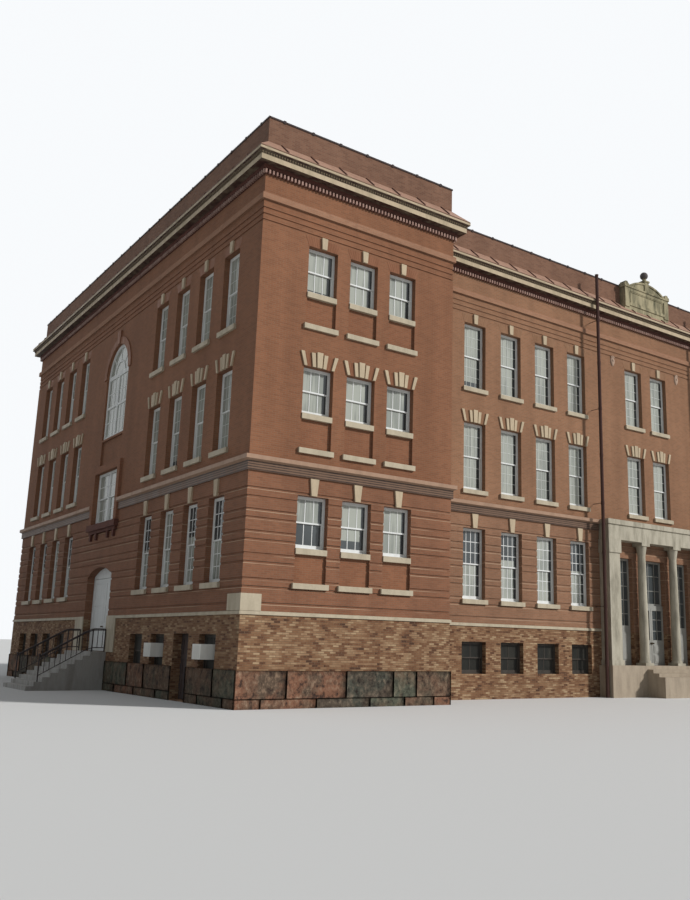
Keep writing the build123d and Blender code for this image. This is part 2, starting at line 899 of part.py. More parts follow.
def stoop_rail():
    """Iron rail along one edge of the stoop: level at the door and sloping over the steps."""
    bar = rail_bar / 2
    slope_run = (stoop_risers - 2) * stoop_going
    drop = (stoop_risers - 2) * stoop_riser
    start = water_table_projection
    far = stoop_landing + slope_run
    line = [(start, 0), (stoop_landing, 0), (far, -drop)]
    side = stoop_width / 2 - rail_inset
    plane = Plane(origin=(-half_length, side - bar, 0), x_dir=(-1, 0, 0), z_dir=(0, 1, 0))

    def strip(level):
        lower = [(run, level + rise) for run, rise in line]
        upper = [(run, level + rise + rail_bar) for run, rise in reversed(line)]
        return make_face(Polyline(*lower, *upper, close=True))

    top_level = side_door_threshold + rail_height - rail_bar
    outline = strip(top_level) + strip(side_door_threshold + 3 * rail_bar)
    first, last = start + bar, far - bar
    count = int((last - first) / baluster_spacing)
    pitch = (last - first) / count
    for index in range(count + 1):
        run = first + index * pitch
        past = max(0.0, run - stoop_landing)
        rise = -past * drop / slope_run
        post = index in (0, count) or abs(run - stoop_landing) < pitch / 2
        steps_down = math.ceil(max(0.0, run - bar - stoop_landing) / stoop_going)
        tread = side_door_threshold - steps_down * stoop_riser
        low = tread if post else side_door_threshold + 3 * rail_bar + rise
        outline += rectangle(run - bar, run + bar, low, top_level + rise + bar)
    return extrude(plane * outline, amount=rail_bar)


def stoop_railings():
    return all_corners(stoop_rail())


# Portico
panel_centre = (column_distance + portico_half - pier_width) / 2
portico_front = centre_face - portico_projection


def portico_piers():
    """Square outer piers with spread bases and capitals."""
    outer = -portico_half
    shaft = block(
        (outer, outer + pier_width), (portico_front, centre_face), (platform_top, entablature_bottom)
    )
    spread = entablature_overhang * 0.8
    for low, high in (
        (platform_top, platform_top + column_base_height),
        (entablature_bottom - column_capital_height, entablature_bottom),
    ):
        shaft += block(
            (outer - spread, outer + pier_width + spread), (portico_front - spread, centre_face),
            (low, high),
        )
    return left_and_right(shaft)


def portico_columns():
    """Round inner columns with a slight taper, a square plinth and a spreading capital."""
    foot = platform_top + column_base_height
    neck = entablature_bottom - column_capital_height
    radius, neck_radius, plinth_half = column_diameter / 2, column_neck_diameter / 2, column_plinth / 2
    outline = make_face(Polyline(
        (0, platform_top + column_base_height / 2),
        (plinth_half * 0.95, platform_top + column_base_height / 2),
        (plinth_half * 0.85, foot), (radius, foot), (radius, foot + (neck - foot) / 3),
        (neck_radius, neck), (plinth_half * 0.9, entablature_bottom - column_capital_height / 4),
        (0, entablature_bottom - column_capital_height / 4), close=True,
    ))
    shaft = revolve(Plane.XZ * outline, axis=Axis.Z)
    spread = (-plinth_half, plinth_half)
    shaft += block(spread, spread, (platform_top, platform_top + column_base_height / 2))
    shaft += block(spread, spread, (entablature_bottom - column_capital_height / 4, entablature_bottom))
    middle = portico_front + column_plinth / 2
    return left_and_right(Pos(-column_distance, middle, 0) * shaft)


def portico_entablature():
    """Beam over the piers and columns, with a cap that carries on the string course."""
    edge = portico_half + entablature_overhang
    architrave = block(
        (-portico_half, portico_half), (portico_front, centre_face),
        (entablature_bottom, string_cap_bottom),
    )
    cap = block(
        (-edge, edge), (portico_front - entablature_overhang, centre_face),
        (string_cap_bottom, string_course_top),
    )
    return [architrave + cap]


def entry_platform():
    """Stone platform under the portico with steps down to the street."""
    edge = portico_half + platform_margin
    front = portico_front - platform_margin
    solid = block((-edge, edge), (front, centre_face), (0, platform_top))
    half = entry_steps_width / 2
    for step in range(1, entry_step_count):
        top = platform_top - step * entry_step_rise
        near = front - step * entry_step_going
        solid += block((-half, half), (near, front), (0, top))
    return [solid]


def front_entry_joinery():
    """Double doors with a glazed transom, and panelled screens between piers and columns."""
    half = front_door_width / 2
    door_head = platform_top + front_door_height
    sash_back = window_reveal + window_thickness / 2
    panel_bottom = platform_top + 2 * door_frame_width
    bar = rectangle(-half, half, door_head, door_head + front_transom_bar)
    transom = rectangle(-half, half, door_head + front_transom_bar, front_transom_head)
    doors = slab(centre_plane, bar, wall_thickness / 2, window_reveal)
    doors += slab(centre_plane, transom, window_thickness / 2, sash_back)
    doors += slab(
        centre_plane, rectangle(-half, half, platform_top, door_head), window_thickness, window_reveal
    )
    screens = []
    for side in (-1, 1):
        panel_top = door_head - door_frame_width
        panel = opening(side * half / 2, half - 2 * door_frame_width, panel_bottom, panel_top)
        doors -= slab(centre_plane, panel, window_thickness / 3, window_reveal)
        screen = opening(side * panel_centre, side_panel_width, platform_top, front_transom_head)
        light = opening(
            side * panel_centre, side_panel_width - 2 * door_frame_width,
            panel_bottom, front_transom_head - door_frame_width,
        )
        board = slab(centre_plane, screen, window_thickness, window_reveal)
        screens.append(board - slab(centre_plane, light, window_thickness / 3, window_reveal))
    return [doors] + screens


def right_side_doors():
    """Closed pair of leaves that mirrors the left side's."""
    return [mirror(leaf, about=Plane.YZ) for leaf in (side_door_front_leaf(), side_door_back_leaf())]


# Tablet, shields, pipes and air conditioners
def tablet():
    """Blank tablet with a low rounded pediment, a pedestal and a ball."""
    front = centre_face + parapet_setback - tablet_depth
    back = centre_face + parapet_setback
    plane = Plane(origin=(0, front, 0), x_dir=(1, 0, 0), z_dir=(0, -1, 0))
    half = tablet_width / 2
    top = cornice_top + tablet_height
    body = block((-half, half), (front, back), (cornice_top, top))
    over = half + tablet_cap_overhang
    body += block((-over, over), (front - tablet_cap_overhang, back), (top, top + tablet_cap_height))
    base = top + tablet_cap_height
    arc = ThreePointArc((half * 0.85, base), (0, base + pediment_rise), (-half * 0.85, base))
    gable = make_face(Curve() + [arc, Line((-half * 0.85, base), (half * 0.85, base))])
    body += extrude(plane * gable, amount=-tablet_depth)
    pedestal_half = pedestal_width / 2
    middle = (front + back) / 2
    body += block(
        (-pedestal_half, pedestal_half), (front - tablet_cap_overhang, middle + pedestal_half),
        (base, base + pedestal_height),
    )
    ball_level = base + pedestal_height + ball_radius * 0.9
    ball_middle = (front - tablet_cap_overhang + middle + pedestal_half) / 2
    return [body + Pos(0, ball_middle, ball_level) * Sphere(ball_radius)]


def shields():
    """Shield-shaped ornaments beside the top windows over the entrance."""
    half = shield_width / 2
    top = shield_centre_level + shield_height / 2
    bottom = shield_centre_level - shield_height / 2
    shoulder = shield_centre_level
    curve = [
        Polyline((-half, shoulder), (-half, top), (half, top), (half, shoulder)),
        ThreePointArc((half, shoulder), (half * 0.72, (shoulder + bottom) / 2), (0, bottom)),
        ThreePointArc((0, bottom), (-half * 0.72, (shoulder + bottom) / 2), (-half, shoulder)),
    ]
    outline = Pos(-shield_spacing / 2, 0) * make_face(Curve() + curve)
    return left_and_right(trim(centre_plane, outline, shield_thickness))


def rainwater_pipes():
    """Pipes from the parapet to the ground, clear of the cornice, on brackets to the wall."""
    middle = centre_face - pipe_offset
    pipe = Pos(-pipe_distance, middle, parapet_top / 2) * Cylinder(pipe_radius, parapet_top)
    half = pipe_bracket_width / 2
    for level in [first_floor_level / 2] + [floor + storey_height * 0.75 for floor in floor_levels]:
        pipe += block(
            (-pipe_distance - half, -pipe_distance + half), (middle, centre_face),
            (level, level + pipe_bracket_height),
        )
    pipe += block(
        (-pipe_distance - half, -pipe_distance + half), (middle, centre_face + parapet_setback),
        (parapet_top - 2 * pipe_bracket_height, parapet_top - pipe_bracket_height),
    )
    return left_and_right(pipe)


def air_conditioners():
    """Two window units in the basement windows of the left side."""
    bottom = conditioner_top - conditioner_height
    return [
        trim(
            left_plane, opening(centre, conditioner_width, bottom, conditioner_top),
            conditioner_projection, window_reveal,
        )
        for centre in (side_centres[0], side_centres[2])
    ]


# Plinth runs along the sides, broken by the stoops and the basement door, as distances on the facade
stoop_edge = stoop_width / 2
door_side = basement_window_width / 2
side_plinth_runs = (
    (-half_depth, -stoop_edge),
    (stoop_edge, basement_door_centre - door_side),
    (basement_door_centre + door_side, half_depth),
)


def main():
    os.makedirs("parts", exist_ok=True)
    side_back, side_middle, side_corner = side_wall_strips()
    save("pavilion_walls", pavilion_walls())
    save("pavilion_returns", pavilion_returns())
    save("side_walls_back", left_and_right(side_back))
    save("side_walls_middle", left_and_right(side_middle))
    save("side_walls_corner", left_and_right(side_corner))
    save("stair_bay_walls", stair_bay_walls())
    save("basement_door_bay_walls", basement_door_bay_walls())
    save("centre_front_wall", [centre_front_wall()])
    save("centre_back_wall", [centre_back_wall()])
    save("plinth_stones", plinth_stones())
    save("water_table", water_table())
    save("cornerstone", cornerstone())
    save("string_course", string_course())
    save("belt_course", belt_course())
    save("bed_moulding", bed_moulding())
    save("street_cornices", street_runs(cornice_profile()))
    save("side_cornices", side_runs(cornice_profile()))
    save("street_pent_roofs", [run - tablet_room() for run in street_runs(pent_roof_profile())])
    save("side_pent_roofs", side_runs(pent_roof_profile()))
    save("street_parapets", street_runs(parapet_profile()))
    save("side_parapets", side_runs(parapet_profile()))
    save("coping", coping())
    save("pavilion_roofs", pavilion_roofs())
    save("centre_roof", centre_roof())
    save("centre_floors", centre_floors())
    save("side_floors", side_floors())
    save("pavilion_floors", pavilion_floors())
    save("entry_landings", entry_landings())
    save("basement_windows", basement_windows())
    save("first_floor_windows", storey_windows(0))
    save("second_floor_windows", storey_windows(1))
    save("third_floor_windows", storey_windows(2))
    save("stair_windows", stair_windows())
    save("window_sills", window_sills())
    save("sash_sills", sash_sills())
    save("brick_aprons", brick_aprons())
    save("keystones", keystones())
    save("stair_window_surrounds", stair_window_surrounds())
    save("door_jamb_stones", door_jamb_stones())
    save("side_door_frames", side_door_frames())
    save("side_door_front_leaf", [side_door_front_leaf()])
    save("side_door_back_leaf", [side_door_back_leaf()])
    save("right_side_doors", right_side_doors())
    save("basement_door", [basement_door()])
    save("stoops", stoops())
    save("stoop_railings", stoop_railings())
    save("portico_piers", portico_piers())
    save("portico_columns", portico_columns())
    save("portico_entablature", portico_entablature())
    save("entry_platform", entry_platform())
    save("front_entry_joinery", front_entry_joinery())
    save("tablet", tablet())
    save("shields", shields())
    save("rainwater_pipes", rainwater_pipes())
    save("air_conditioners", air_conditioners())


main()
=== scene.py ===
import math
import bmesh
import bpy
from mathutils import Matrix, Vector, noise


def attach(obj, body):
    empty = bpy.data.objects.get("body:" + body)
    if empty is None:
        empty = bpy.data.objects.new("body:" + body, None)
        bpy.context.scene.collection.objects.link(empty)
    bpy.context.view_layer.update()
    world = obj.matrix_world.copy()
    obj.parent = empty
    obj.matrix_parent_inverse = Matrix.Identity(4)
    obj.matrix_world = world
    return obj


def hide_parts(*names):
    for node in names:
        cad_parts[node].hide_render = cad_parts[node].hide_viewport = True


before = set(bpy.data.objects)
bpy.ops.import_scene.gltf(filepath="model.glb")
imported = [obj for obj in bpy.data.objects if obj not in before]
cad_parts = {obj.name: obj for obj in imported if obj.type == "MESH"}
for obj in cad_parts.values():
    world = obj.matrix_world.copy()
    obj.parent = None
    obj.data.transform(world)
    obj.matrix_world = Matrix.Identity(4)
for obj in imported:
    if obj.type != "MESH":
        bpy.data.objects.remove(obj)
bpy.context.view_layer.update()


# Studio
# A pale floor, a white background and one broad lamp high on the street's right, with plain light
# from the sky all round. The camera stands at the street corner, low, and looks up a little.
def feed(tree, socket, value):
    """Links another node's output to a socket, or sets a plain value there."""
    if isinstance(value, bpy.types.NodeSocket):
        tree.links.new(value, socket)
    else:
        socket.default_value = (*value, 1) if socket.type == "RGBA" else value


def new_node(tree, kind, values=None, **settings):
    """One node with its settings and with what goes into its inputs."""
    made = tree.nodes.new("ShaderNode" + kind)
    for setting, value in settings.items():
        setattr(made, setting, value)
    for name, value in (values or {}).items():
        feed(tree, made.inputs[name], value)
    return made


def math_node(tree, operation, *values):
    """Result of a sum with one to three values."""
    return new_node(tree, "Math", dict(enumerate(values)), operation=operation).outputs[0]


def new_material(name):
    """New material, its node tree and the inputs of its shader."""
    made = bpy.data.materials.new(name)
    made.use_nodes = True
    return made, made.node_tree, made.node_tree.nodes["Principled BSDF"].inputs


def new_object(name, bm, materials=()):
    """Object from a bmesh, at the origin."""
    mesh = bpy.data.meshes.new(name)
    bm.to_mesh(mesh)
    bm.free()
    for material in materials:
        mesh.materials.append(material)
    made = bpy.data.objects.new(name, mesh)
    scene.collection.objects.link(made)
    return made


scene = bpy.context.scene
scene.view_settings.view_transform = "Standard"

camera_data = bpy.data.cameras.new("street_corner_view")
camera_data.lens = 36.03
camera_data.shift_x = -0.061
camera_data.clip_end = 3000
camera = bpy.data.objects.new("street_corner_view", camera_data)
camera_place = (-16.768, -18.491, 0.922)
view_right, view_up = (0.80411, -0.59409, 0.02170), (-0.14418, -0.15948, 0.97662)
view_back = (-0.57674, -0.78843, -0.21390)
camera_turn = Matrix((view_right, view_up, view_back)).transposed()
camera.matrix_world = Matrix.Translation(camera_place) @ camera_turn.to_4x4()
scene.collection.objects.link(camera)
scene.camera = camera

lamp_data = bpy.data.lights.new("broad_lamp", "SUN")
lamp_data.energy = 4.0
lamp_data.angle = math.radians(5)
lamp = bpy.data.objects.new("broad_lamp", lamp_data)
towards_lamp = Vector((0.60, -0.64, 0.46))
lamp.rotation_euler = towards_lamp.to_track_quat("Z", "Y").to_euler()
lamp.visible_glossy = False
scene.collection.objects.link(lamp)

world = bpy.data.worlds.new("plain_sky")
scene.world = world
world.use_nodes = True
sky = world.node_tree
sky.nodes.clear()
sky_light = new_node(sky, "Background", {"Color": (0.86, 0.93, 1.0), "Strength": 0.34}).outputs[0]
backdrop = new_node(sky, "Background", {"Color": (0.94, 0.96, 0.98), "Strength": 1.0}).outputs[0]
rays = new_node(sky, "LightPath").outputs
seen = math_node(sky, "MAXIMUM", rays["Is Camera Ray"], rays["Is Glossy Ray"])
seen = math_node(sky, "MAXIMUM", seen, rays["Is Transmission Ray"])
sky_shown = new_node(sky, "MixShader", {0: seen, 1: sky_light, 2: backdrop}).outputs[0]
new_node(sky, "OutputWorld", {"Surface": sky_shown})

floor_bm = bmesh.new()
bmesh.ops.create_grid(floor_bm, x_segments=1, y_segments=1, size=1200)
floor_paint, floor_tree, floor_surface = new_material("pale_floor")
feed(floor_tree, floor_surface["Base Color"], (0.62, 0.61, 0.59))
feed(floor_tree, floor_surface["Roughness"], 0.9)
new_object("floor", floor_bm, [floor_paint])


# Face brick
# Hard orange-red bricks laid in running bond, 33 mm to a course at this scale, with sandy mortar.
# The bricks differ a little in colour, and rain has darkened the wall in broad patches.
brick_length, course_height, joint_width = 0.105, 0.03335, 0.0022
string_course_foot = 3.485
surface_sockets = {"Color": "Color", "Height": "Float", "Roughness": "Float"}


def blend(tree, factor, first, second, mode="MIX"):
    """Colour between two colours."""
    mixed = new_node(tree, "Mix", {0: factor, 6: first, 7: second}, data_type="RGBA", blend_type=mode)
    return mixed.outputs[2]


def noise_node(tree, place, scale, detail, roughness=0.5):
    """Soft noise of a size and a fineness."""
    values = {"Vector": place, "Scale": scale, "Detail": detail, "Roughness": roughness}
    return new_node(tree, "TexNoise", values).outputs[0]


def spread(tree, value, low, high, to_low=0.0, to_high=1.0):
    """Spreads what lies between two values over another span, and holds the rest at its ends."""
    values = {"Value": value, "From Min": low, "From Max": high, "To Min": to_low, "To Max": to_high}
    return new_node(tree, "MapRange", values).outputs[0]


def stretch(tree, place, scale):
    """Coordinates drawn out along their axes."""
    return new_node(tree, "Mapping", {"Vector": place, "Scale": scale}).outputs[0]


def new_group(name, inputs, outputs):
    """Empty shader node group and its two end nodes; each socket is given by its name and kind."""
    group = bpy.data.node_groups.new(name, "ShaderNodeTree")
    for way, sockets in (("INPUT", inputs), ("OUTPUT", outputs)):
        for label, kind in sockets.items():
            group.interface.new_socket(name=label, in_out=way, socket_type="NodeSocket" + kind)
    return group, group.nodes.new("NodeGroupInput").outputs, group.nodes.new("NodeGroupOutput").inputs


def use_group(tree, group, values=None):
    """Outputs of a node group placed in a material."""
    return new_node(tree, "Group", values, node_tree=group).outputs


def finish_surface(tree, surface, color, roughness, specular, height=None, strength=0.4, depth=0.003):
    """Gives a material's own shader its colour, roughness, gloss and relief."""
    feed(tree, surface["Base Color"], color)
    feed(tree, surface["Roughness"], roughness)
    surface["Specular IOR Level"].default_value = specular
    if height is not None:
        relief = new_node(tree, "Bump", {"Strength": strength, "Distance": depth, "Height": height})
        tree.links.new(relief.outputs[0], surface["Normal"])


def make_wall_coordinates():
    """Flat wall coordinates: distance along the wall and height, for walls that face X or Y."""
    group, given, result = new_group("wall_coordinates", {}, {"Position": "Vector", "Height": "Float"})
    place = new_node(group, "TexCoord").outputs
    xyz = new_node(group, "SeparateXYZ", {0: place["Object"]}).outputs
    facing = new_node(group, "SeparateXYZ", {0: place["Normal"]}).outputs
    sideways = math_node(group, "GREATER_THAN", math_node(group, "ABSOLUTE", facing[0]), 0.6)
    level = math_node(group, "GREATER_THAN", math_node(group, "ABSOLUTE", facing[2]), 0.8)
    along = new_node(group, "Mix", {0: sideways, 2: xyz[0], 3: xyz[1]}, data_type="FLOAT").outputs[0]
    rise = new_node(group, "Mix", {0: level, 2: xyz[2], 3: xyz[1]}, data_type="FLOAT").outputs[0]
    joined = new_node(group, "CombineXYZ", {0: along, 1: rise, 2: 0.0}).outputs[0]
    group.links.new(joined, result["Position"])
    group.links.new(xyz[2], result["Height"])
    return group


def make_brickwork():
    """Running bond with mortar joints, and the colour changes from brick to brick."""
    group, given, result = new_group("brickwork", {
        "Position": "Vector", "Brick": "Color", "Dark Brick": "Color", "Mortar": "Color", "Joint": "Float",
        "Stain": "Float",
    }, surface_sockets)
    place = given["Position"]
    bricks = new_node(group, "TexBrick", {
        "Vector": place, "Color1": given["Brick"], "Color2": given["Dark Brick"],
        "Mortar": given["Mortar"], "Scale": 1.0, "Mortar Size": given["Joint"], "Mortar Smooth": 0.1,
        "Bias": -0.2, "Brick Width": brick_length, "Row Height": course_height,
    }, offset=0.5, offset_frequency=2, squash=1.0, squash_frequency=2).outputs
    spots = noise_node(group, place, 14.0, 4.0)
    clouds = noise_node(group, place, 0.45, 5.0)
    streaks = noise_node(group, stretch(group, place, (2.6, 0.12, 1.0)), 1.0, 4.0)
    grey = blend(group, spots, (0.42, 0.42, 0.42), (0.62, 0.62, 0.62))
    mottled = blend(group, 0.35, bricks["Color"], grey, "OVERLAY")
    wear = math_node(group, "MULTIPLY", math_node(group, "ADD", clouds, streaks), 0.5)
    dull = math_node(group, "MULTIPLY", spread(group, wear, 0.36, 0.62, 1.0, 0.0), given["Stain"])
    stained = blend(group, dull, mottled, (0.35, 0.33, 0.34), "MULTIPLY")
    group.links.new(stained, result["Color"])
    face = math_node(group, "SUBTRACT", 1.0, bricks["Fac"])
    grit = math_node(group, "MULTIPLY", spots, 0.25)
    group.links.new(math_node(group, "ADD", face, grit), result["Height"])
    group.links.new(spread(group, spots, 0.0, 1.0, 0.72, 0.95), result["Roughness"])
    return group


wall_coordinates = make_wall_coordinates()
brickwork = make_brickwork()


def brick_material(name, brick, dark, mortar, stain, lips=None):
    """Brick wall material, coursed from the ground up; lips is a mask group for light mortar lips."""
    made, tree, surface = new_material(name)
    place = use_group(tree, wall_coordinates)
    bricks = use_group(tree, brickwork, {
        "Position": place["Position"], "Brick": brick, "Dark Brick": dark, "Mortar": mortar,
        "Joint": joint_width, "Stain": stain,
    })
    color = bricks["Color"]
    if lips:
        lower = math_node(tree, "LESS_THAN", place["Height"], string_course_foot)
        lower_tone = blend(tree, 1.0, color, (0.95, 0.96, 1.0), "MULTIPLY")
        color = blend(tree, lower, color, lower_tone)
        mask = use_group(tree, lips, {"Position": place["Position"], "Height": place["Height"]})["Mask"]
        color = blend(tree, math_node(tree, "MULTIPLY", mask, lower), color, (0.37, 0.25, 0.165))
    finish_surface(tree, surface, color, bricks["Roughness"], 0.25, bricks["Height"], 0.5, 0.004)
    return made


def dress(material, *nodes):
    """Gives CAD nodes a material."""
    for name in nodes:
        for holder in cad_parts[name].material_slots:
            holder.material = material


face_brick = brick_material(
    "face_brick", (0.240, 0.103, 0.055), (0.194, 0.083, 0.045), (0.215, 0.145, 0.096), 0.4)
dress(face_brick, "brick_aprons", "stair_window_surrounds")
belt_brick = brick_material(
    "belt_brick", (0.315, 0.165, 0.100), (0.255, 0.130, 0.078), (0.28, 0.20, 0.14), 0.3)
dress(belt_brick, "belt_course")
# Brick darkened as painted shade, for the shade under the cornice soffit and under the stair-window shelf.
painted_shade_brick = brick_material(
    "painted_shade_brick", (0.115, 0.040, 0.028), (0.075, 0.028, 0.022), (0.10, 0.06, 0.045), 0.5)
dress(painted_shade_brick, "bed_moulding")
parapet_brick = brick_material(
    "parapet_brick", (0.205, 0.108, 0.070), (0.150, 0.076, 0.050), (0.20, 0.15, 0.11), 0.4)
dress(parapet_brick, "street_parapets", "side_parapets")


# Grooved brick walls
# The street, side and back walls of brick. In the first storey one course in every few is laid back
# 14 mm from the face, and three more such courses cross the frieze over the top windows. A panel is
# sunk between the two stair windows, and the basement wall is of mixed, rougher bricks.
half_length, half_depth, centre_depth, pavilion_edge = 10.75, 6.42, 5.366, 6.804
groove_levels = (1.515, 1.75, 1.87, 2.115, 2.24, 2.45, 2.575, 2.775, 2.90, 3.095, 3.23, 7.57, 7.675, 7.78)
groove_height, groove_depth = 0.033, 0.014
base_top = 1.345
here = Matrix.Identity(4)


def span(side, near, far):
    """Two distances to one side of the middle, in rising order."""
    return sorted((side * near, side * far))


def make_piece(name, bm, materials, body="building"):
    """Object from a bmesh that moves with a body."""
    piece = new_object(name, bm, materials)
    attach(piece, body)
    return piece


def add_block(bm, place, low, high, material=0):
    """Box between two corners, given in a facade's own directions."""
    size = [top - bottom for bottom, top in zip(low, high)]
    centre = [(top + bottom) / 2 for bottom, top in zip(low, high)]
    fitted = place @ Matrix.Translation(centre) @ Matrix.Diagonal((*size, 1))
    verts = bmesh.ops.create_cube(bm, size=1.0, matrix=fitted)["verts"]
    for face in {face for vert in verts for face in vert.link_faces}:
        face.material_index = material
    return verts


def make_groove_lips():
    """Mask of the light mortar lips under the laid-back courses, broken along the wall."""
    group, given, result = new_group(
        "groove_lips", {"Position": "Vector", "Height": "Float"}, {"Mask": "Float"})
    total = 0.0
    for level in groove_levels:
        lip_level = level - groove_height / 2 - 0.006
        lip = math_node(group, "COMPARE", given["Height"], lip_level, 0.006)
        total = math_node(group, "ADD", lip, total)
    breaks = noise_node(group, stretch(group, given["Position"], (0.7, 5.0, 1.0)), 1.0, 5.0)
    shown = spread(group, breaks, 0.40, 0.58, 0.0, 0.85)
    group.links.new(math_node(group, "MULTIPLY", total, shown), result["Mask"])
    return group


groove_lips = make_groove_lips()
pavilion_brick = brick_material(
    "pavilion_brick", (0.238, 0.105, 0.056), (0.192, 0.085, 0.046), (0.215, 0.145, 0.096), 0.4,
    groove_lips)
centre_brick = brick_material(
    "centre_brick", (0.268, 0.136, 0.076), (0.218, 0.111, 0.062), (0.245, 0.190, 0.135), 0.4,
    groove_lips)


def make_base_brick():
    """Mixed bricks of the basement wall: each has a tone of its own, light or burnt, in loose patches."""
    made, tree, surface = new_material("base_brick")
    place = use_group(tree, wall_coordinates)["Position"]
    along, rise = new_node(tree, "SeparateXYZ", {0: place}).outputs[0:2]
    course_number = math_node(tree, "FLOOR", math_node(tree, "DIVIDE", rise, course_height))
    lap = math_node(tree, "MULTIPLY", math_node(tree, "FLOORED_MODULO", course_number, 2.0), -0.5)
    bricks_along = math_node(tree, "DIVIDE", along, brick_length)
    brick_number = math_node(
        tree, "FLOOR", math_node(tree, "ADD", bricks_along, math_node(tree, "ADD", lap, 0.5)))
    brick_place = new_node(tree, "CombineXYZ", {0: brick_number, 1: course_number}).outputs[0]
    chance = new_node(tree, "TexWhiteNoise", {"Vector": brick_place}, noise_dimensions="2D").outputs["Value"]
    patches = noise_node(tree, stretch(tree, place, (3.2, 4.2, 1.0)), 1.0, 5.0, 0.6)
    patch_share = spread(tree, patches, 0.35, 0.65, 0.10, 0.42)
    tone = math_node(tree, "ADD", math_node(tree, "MULTIPLY", chance, 0.56), patch_share)
    fired = new_node(tree, "ValToRGB", {0: tone})
    burnt, pale = fired.color_ramp.elements
    burnt.position, burnt.color = 0.18, (0.072, 0.037, 0.024, 1)
    pale.position, pale.color = 0.88, (0.355, 0.245, 0.145, 1)
    for position, color in ((0.30, (0.132, 0.062, 0.034)), (0.50, (0.192, 0.100, 0.053)),
                            (0.70, (0.258, 0.156, 0.088))):
        fired.color_ramp.elements.new(position).color = (*color, 1)
    bricks = use_group(tree, brickwork, {
        "Position": place, "Brick": fired.outputs[0], "Dark Brick": fired.outputs[0],
        "Mortar": (0.205, 0.135, 0.083), "Joint": 0.0032, "Stain": 0.25,
    })
    spalled = math_node(tree, "MULTIPLY", spread(tree, tone, 0.34, 0.18), 0.9)
    height = math_node(tree, "SUBTRACT", bricks["Height"], spalled)
    finish_surface(tree, surface, bricks["Color"], bricks["Roughness"], 0.2, height, 0.9, 0.008)
    return made


base_brick = make_base_brick()


def add_cut(bm, *spans):
    """Block of a cutter, from a span in each of the three directions."""
    add_block(bm, here, *zip(*spans))


street_cutter, side_cutter = bmesh.new(), bmesh.new()
reach = 0.1
past_side, past_front = half_length + reach, half_depth + reach
panel_depth, panel_half, panel_foot, panel_head = 0.045, 0.62, 4.57, 5.09
for level in groove_levels:
    rise = (level - groove_height / 2, level + groove_height / 2)
    for end in (-1, 1):
        add_cut(street_cutter, (-pavilion_edge - 0.03, pavilion_edge + 0.03),
                span(end, centre_depth - groove_depth, centre_depth + reach), rise)
        add_cut(side_cutter, span(end, half_length - groove_depth, past_side),
                (-past_front, past_front), rise)
        for side in (-1, 1):
            add_cut(street_cutter, span(side, pavilion_edge - groove_depth, past_side),
                    span(end, half_depth - groove_depth, past_front), rise)
            add_cut(side_cutter, span(end, pavilion_edge - reach, pavilion_edge + groove_depth),
                    span(side, centre_depth - 0.01, past_front), rise)
for end in (-1, 1):
    add_cut(side_cutter, span(end, half_length - panel_depth, past_side), (-panel_half, panel_half),
            (panel_foot, panel_head))
cutters = [new_object("groove_cutter", cutter_bm) for cutter_bm in (street_cutter, side_cutter)]

for node_name in ("pavilion_walls", "pavilion_returns", "side_walls_back", "side_walls_middle",
                  "side_walls_corner", "stair_bay_walls", "basement_door_bay_walls", "centre_front_wall",
                  "centre_back_wall"):
    wall_bm = bmesh.new()
    wall_bm.from_mesh(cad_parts[node_name].data)
    bmesh.ops.remove_doubles(wall_bm, verts=wall_bm.verts, dist=1e-5)
    bmesh.ops.dissolve_limit(wall_bm, angle_limit=0.01, verts=wall_bm.verts, edges=wall_bm.edges)
    everything = list(wall_bm.verts) + list(wall_bm.edges) + list(wall_bm.faces)
    bmesh.ops.bisect_plane(
        wall_bm, geom=everything, plane_co=(0, 0, base_top), plane_no=(0, 0, 1), dist=1e-5)
    for face in wall_bm.faces:
        face.material_index = 1 if face.calc_center_median().z < base_top else 0
    upper_brick = centre_brick if node_name.startswith("centre") else pavilion_brick
    grooved = make_piece(node_name + "_brick", wall_bm, [upper_brick, base_brick])
    for cutter in cutters:
        cut = grooved.modifiers.new("grooves", "BOOLEAN")
        cut.operation = "DIFFERENCE"
        cut.solver = "EXACT"
        cut.object = cutter
    plain = grooved.data
    shaped = grooved.evaluated_get(bpy.context.evaluated_depsgraph_get())
    grooved.data = bpy.data.meshes.new_from_object(shaped)
    grooved.modifiers.clear()
    bpy.data.meshes.remove(plain)
    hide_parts(node_name)

for cutter in cutters:
    bpy.data.meshes.remove(cutter.data)


# Limestone
# Sawn limestone for the water table, cornerstone, sills, keystones and jamb stones, cream where it is
# dry and pitted by the weather. The string course is of browner stone, with thin bands of painted
# shade in the hollows between its mouldings.
def make_weathering():
    """Grain, stains and dust of a surface that stands outdoors."""
    group, given, result = new_group("weathering", {
        "Color": "Color", "Dirt": "Color", "Amount": "Float", "Grain": "Float",
    }, surface_sockets)
    place = new_node(group, "TexCoord").outputs["Object"]
    runs = noise_node(group, stretch(group, place, (3.0, 3.0, 0.7)), 2.2, 6.0, 0.6)
    grains = noise_node(group, place, given["Grain"], 3.0)
    dirt = math_node(group, "MULTIPLY", spread(group, runs, 0.42, 0.7), given["Amount"])
    base = blend(group, dirt, given["Color"], given["Dirt"])
    grey = blend(group, grains, (0.36, 0.36, 0.36), (0.64, 0.64, 0.64))
    group.links.new(blend(group, 0.35, base, grey, "OVERLAY"), result["Color"])
    height = math_node(group, "ADD", grains, math_node(group, "MULTIPLY", runs, 0.5))
    group.links.new(height, result["Height"])
    group.links.new(spread(group, dirt, 0.0, 1.0, 0.55, 0.95), result["Roughness"])
    return group


weathering = make_weathering()


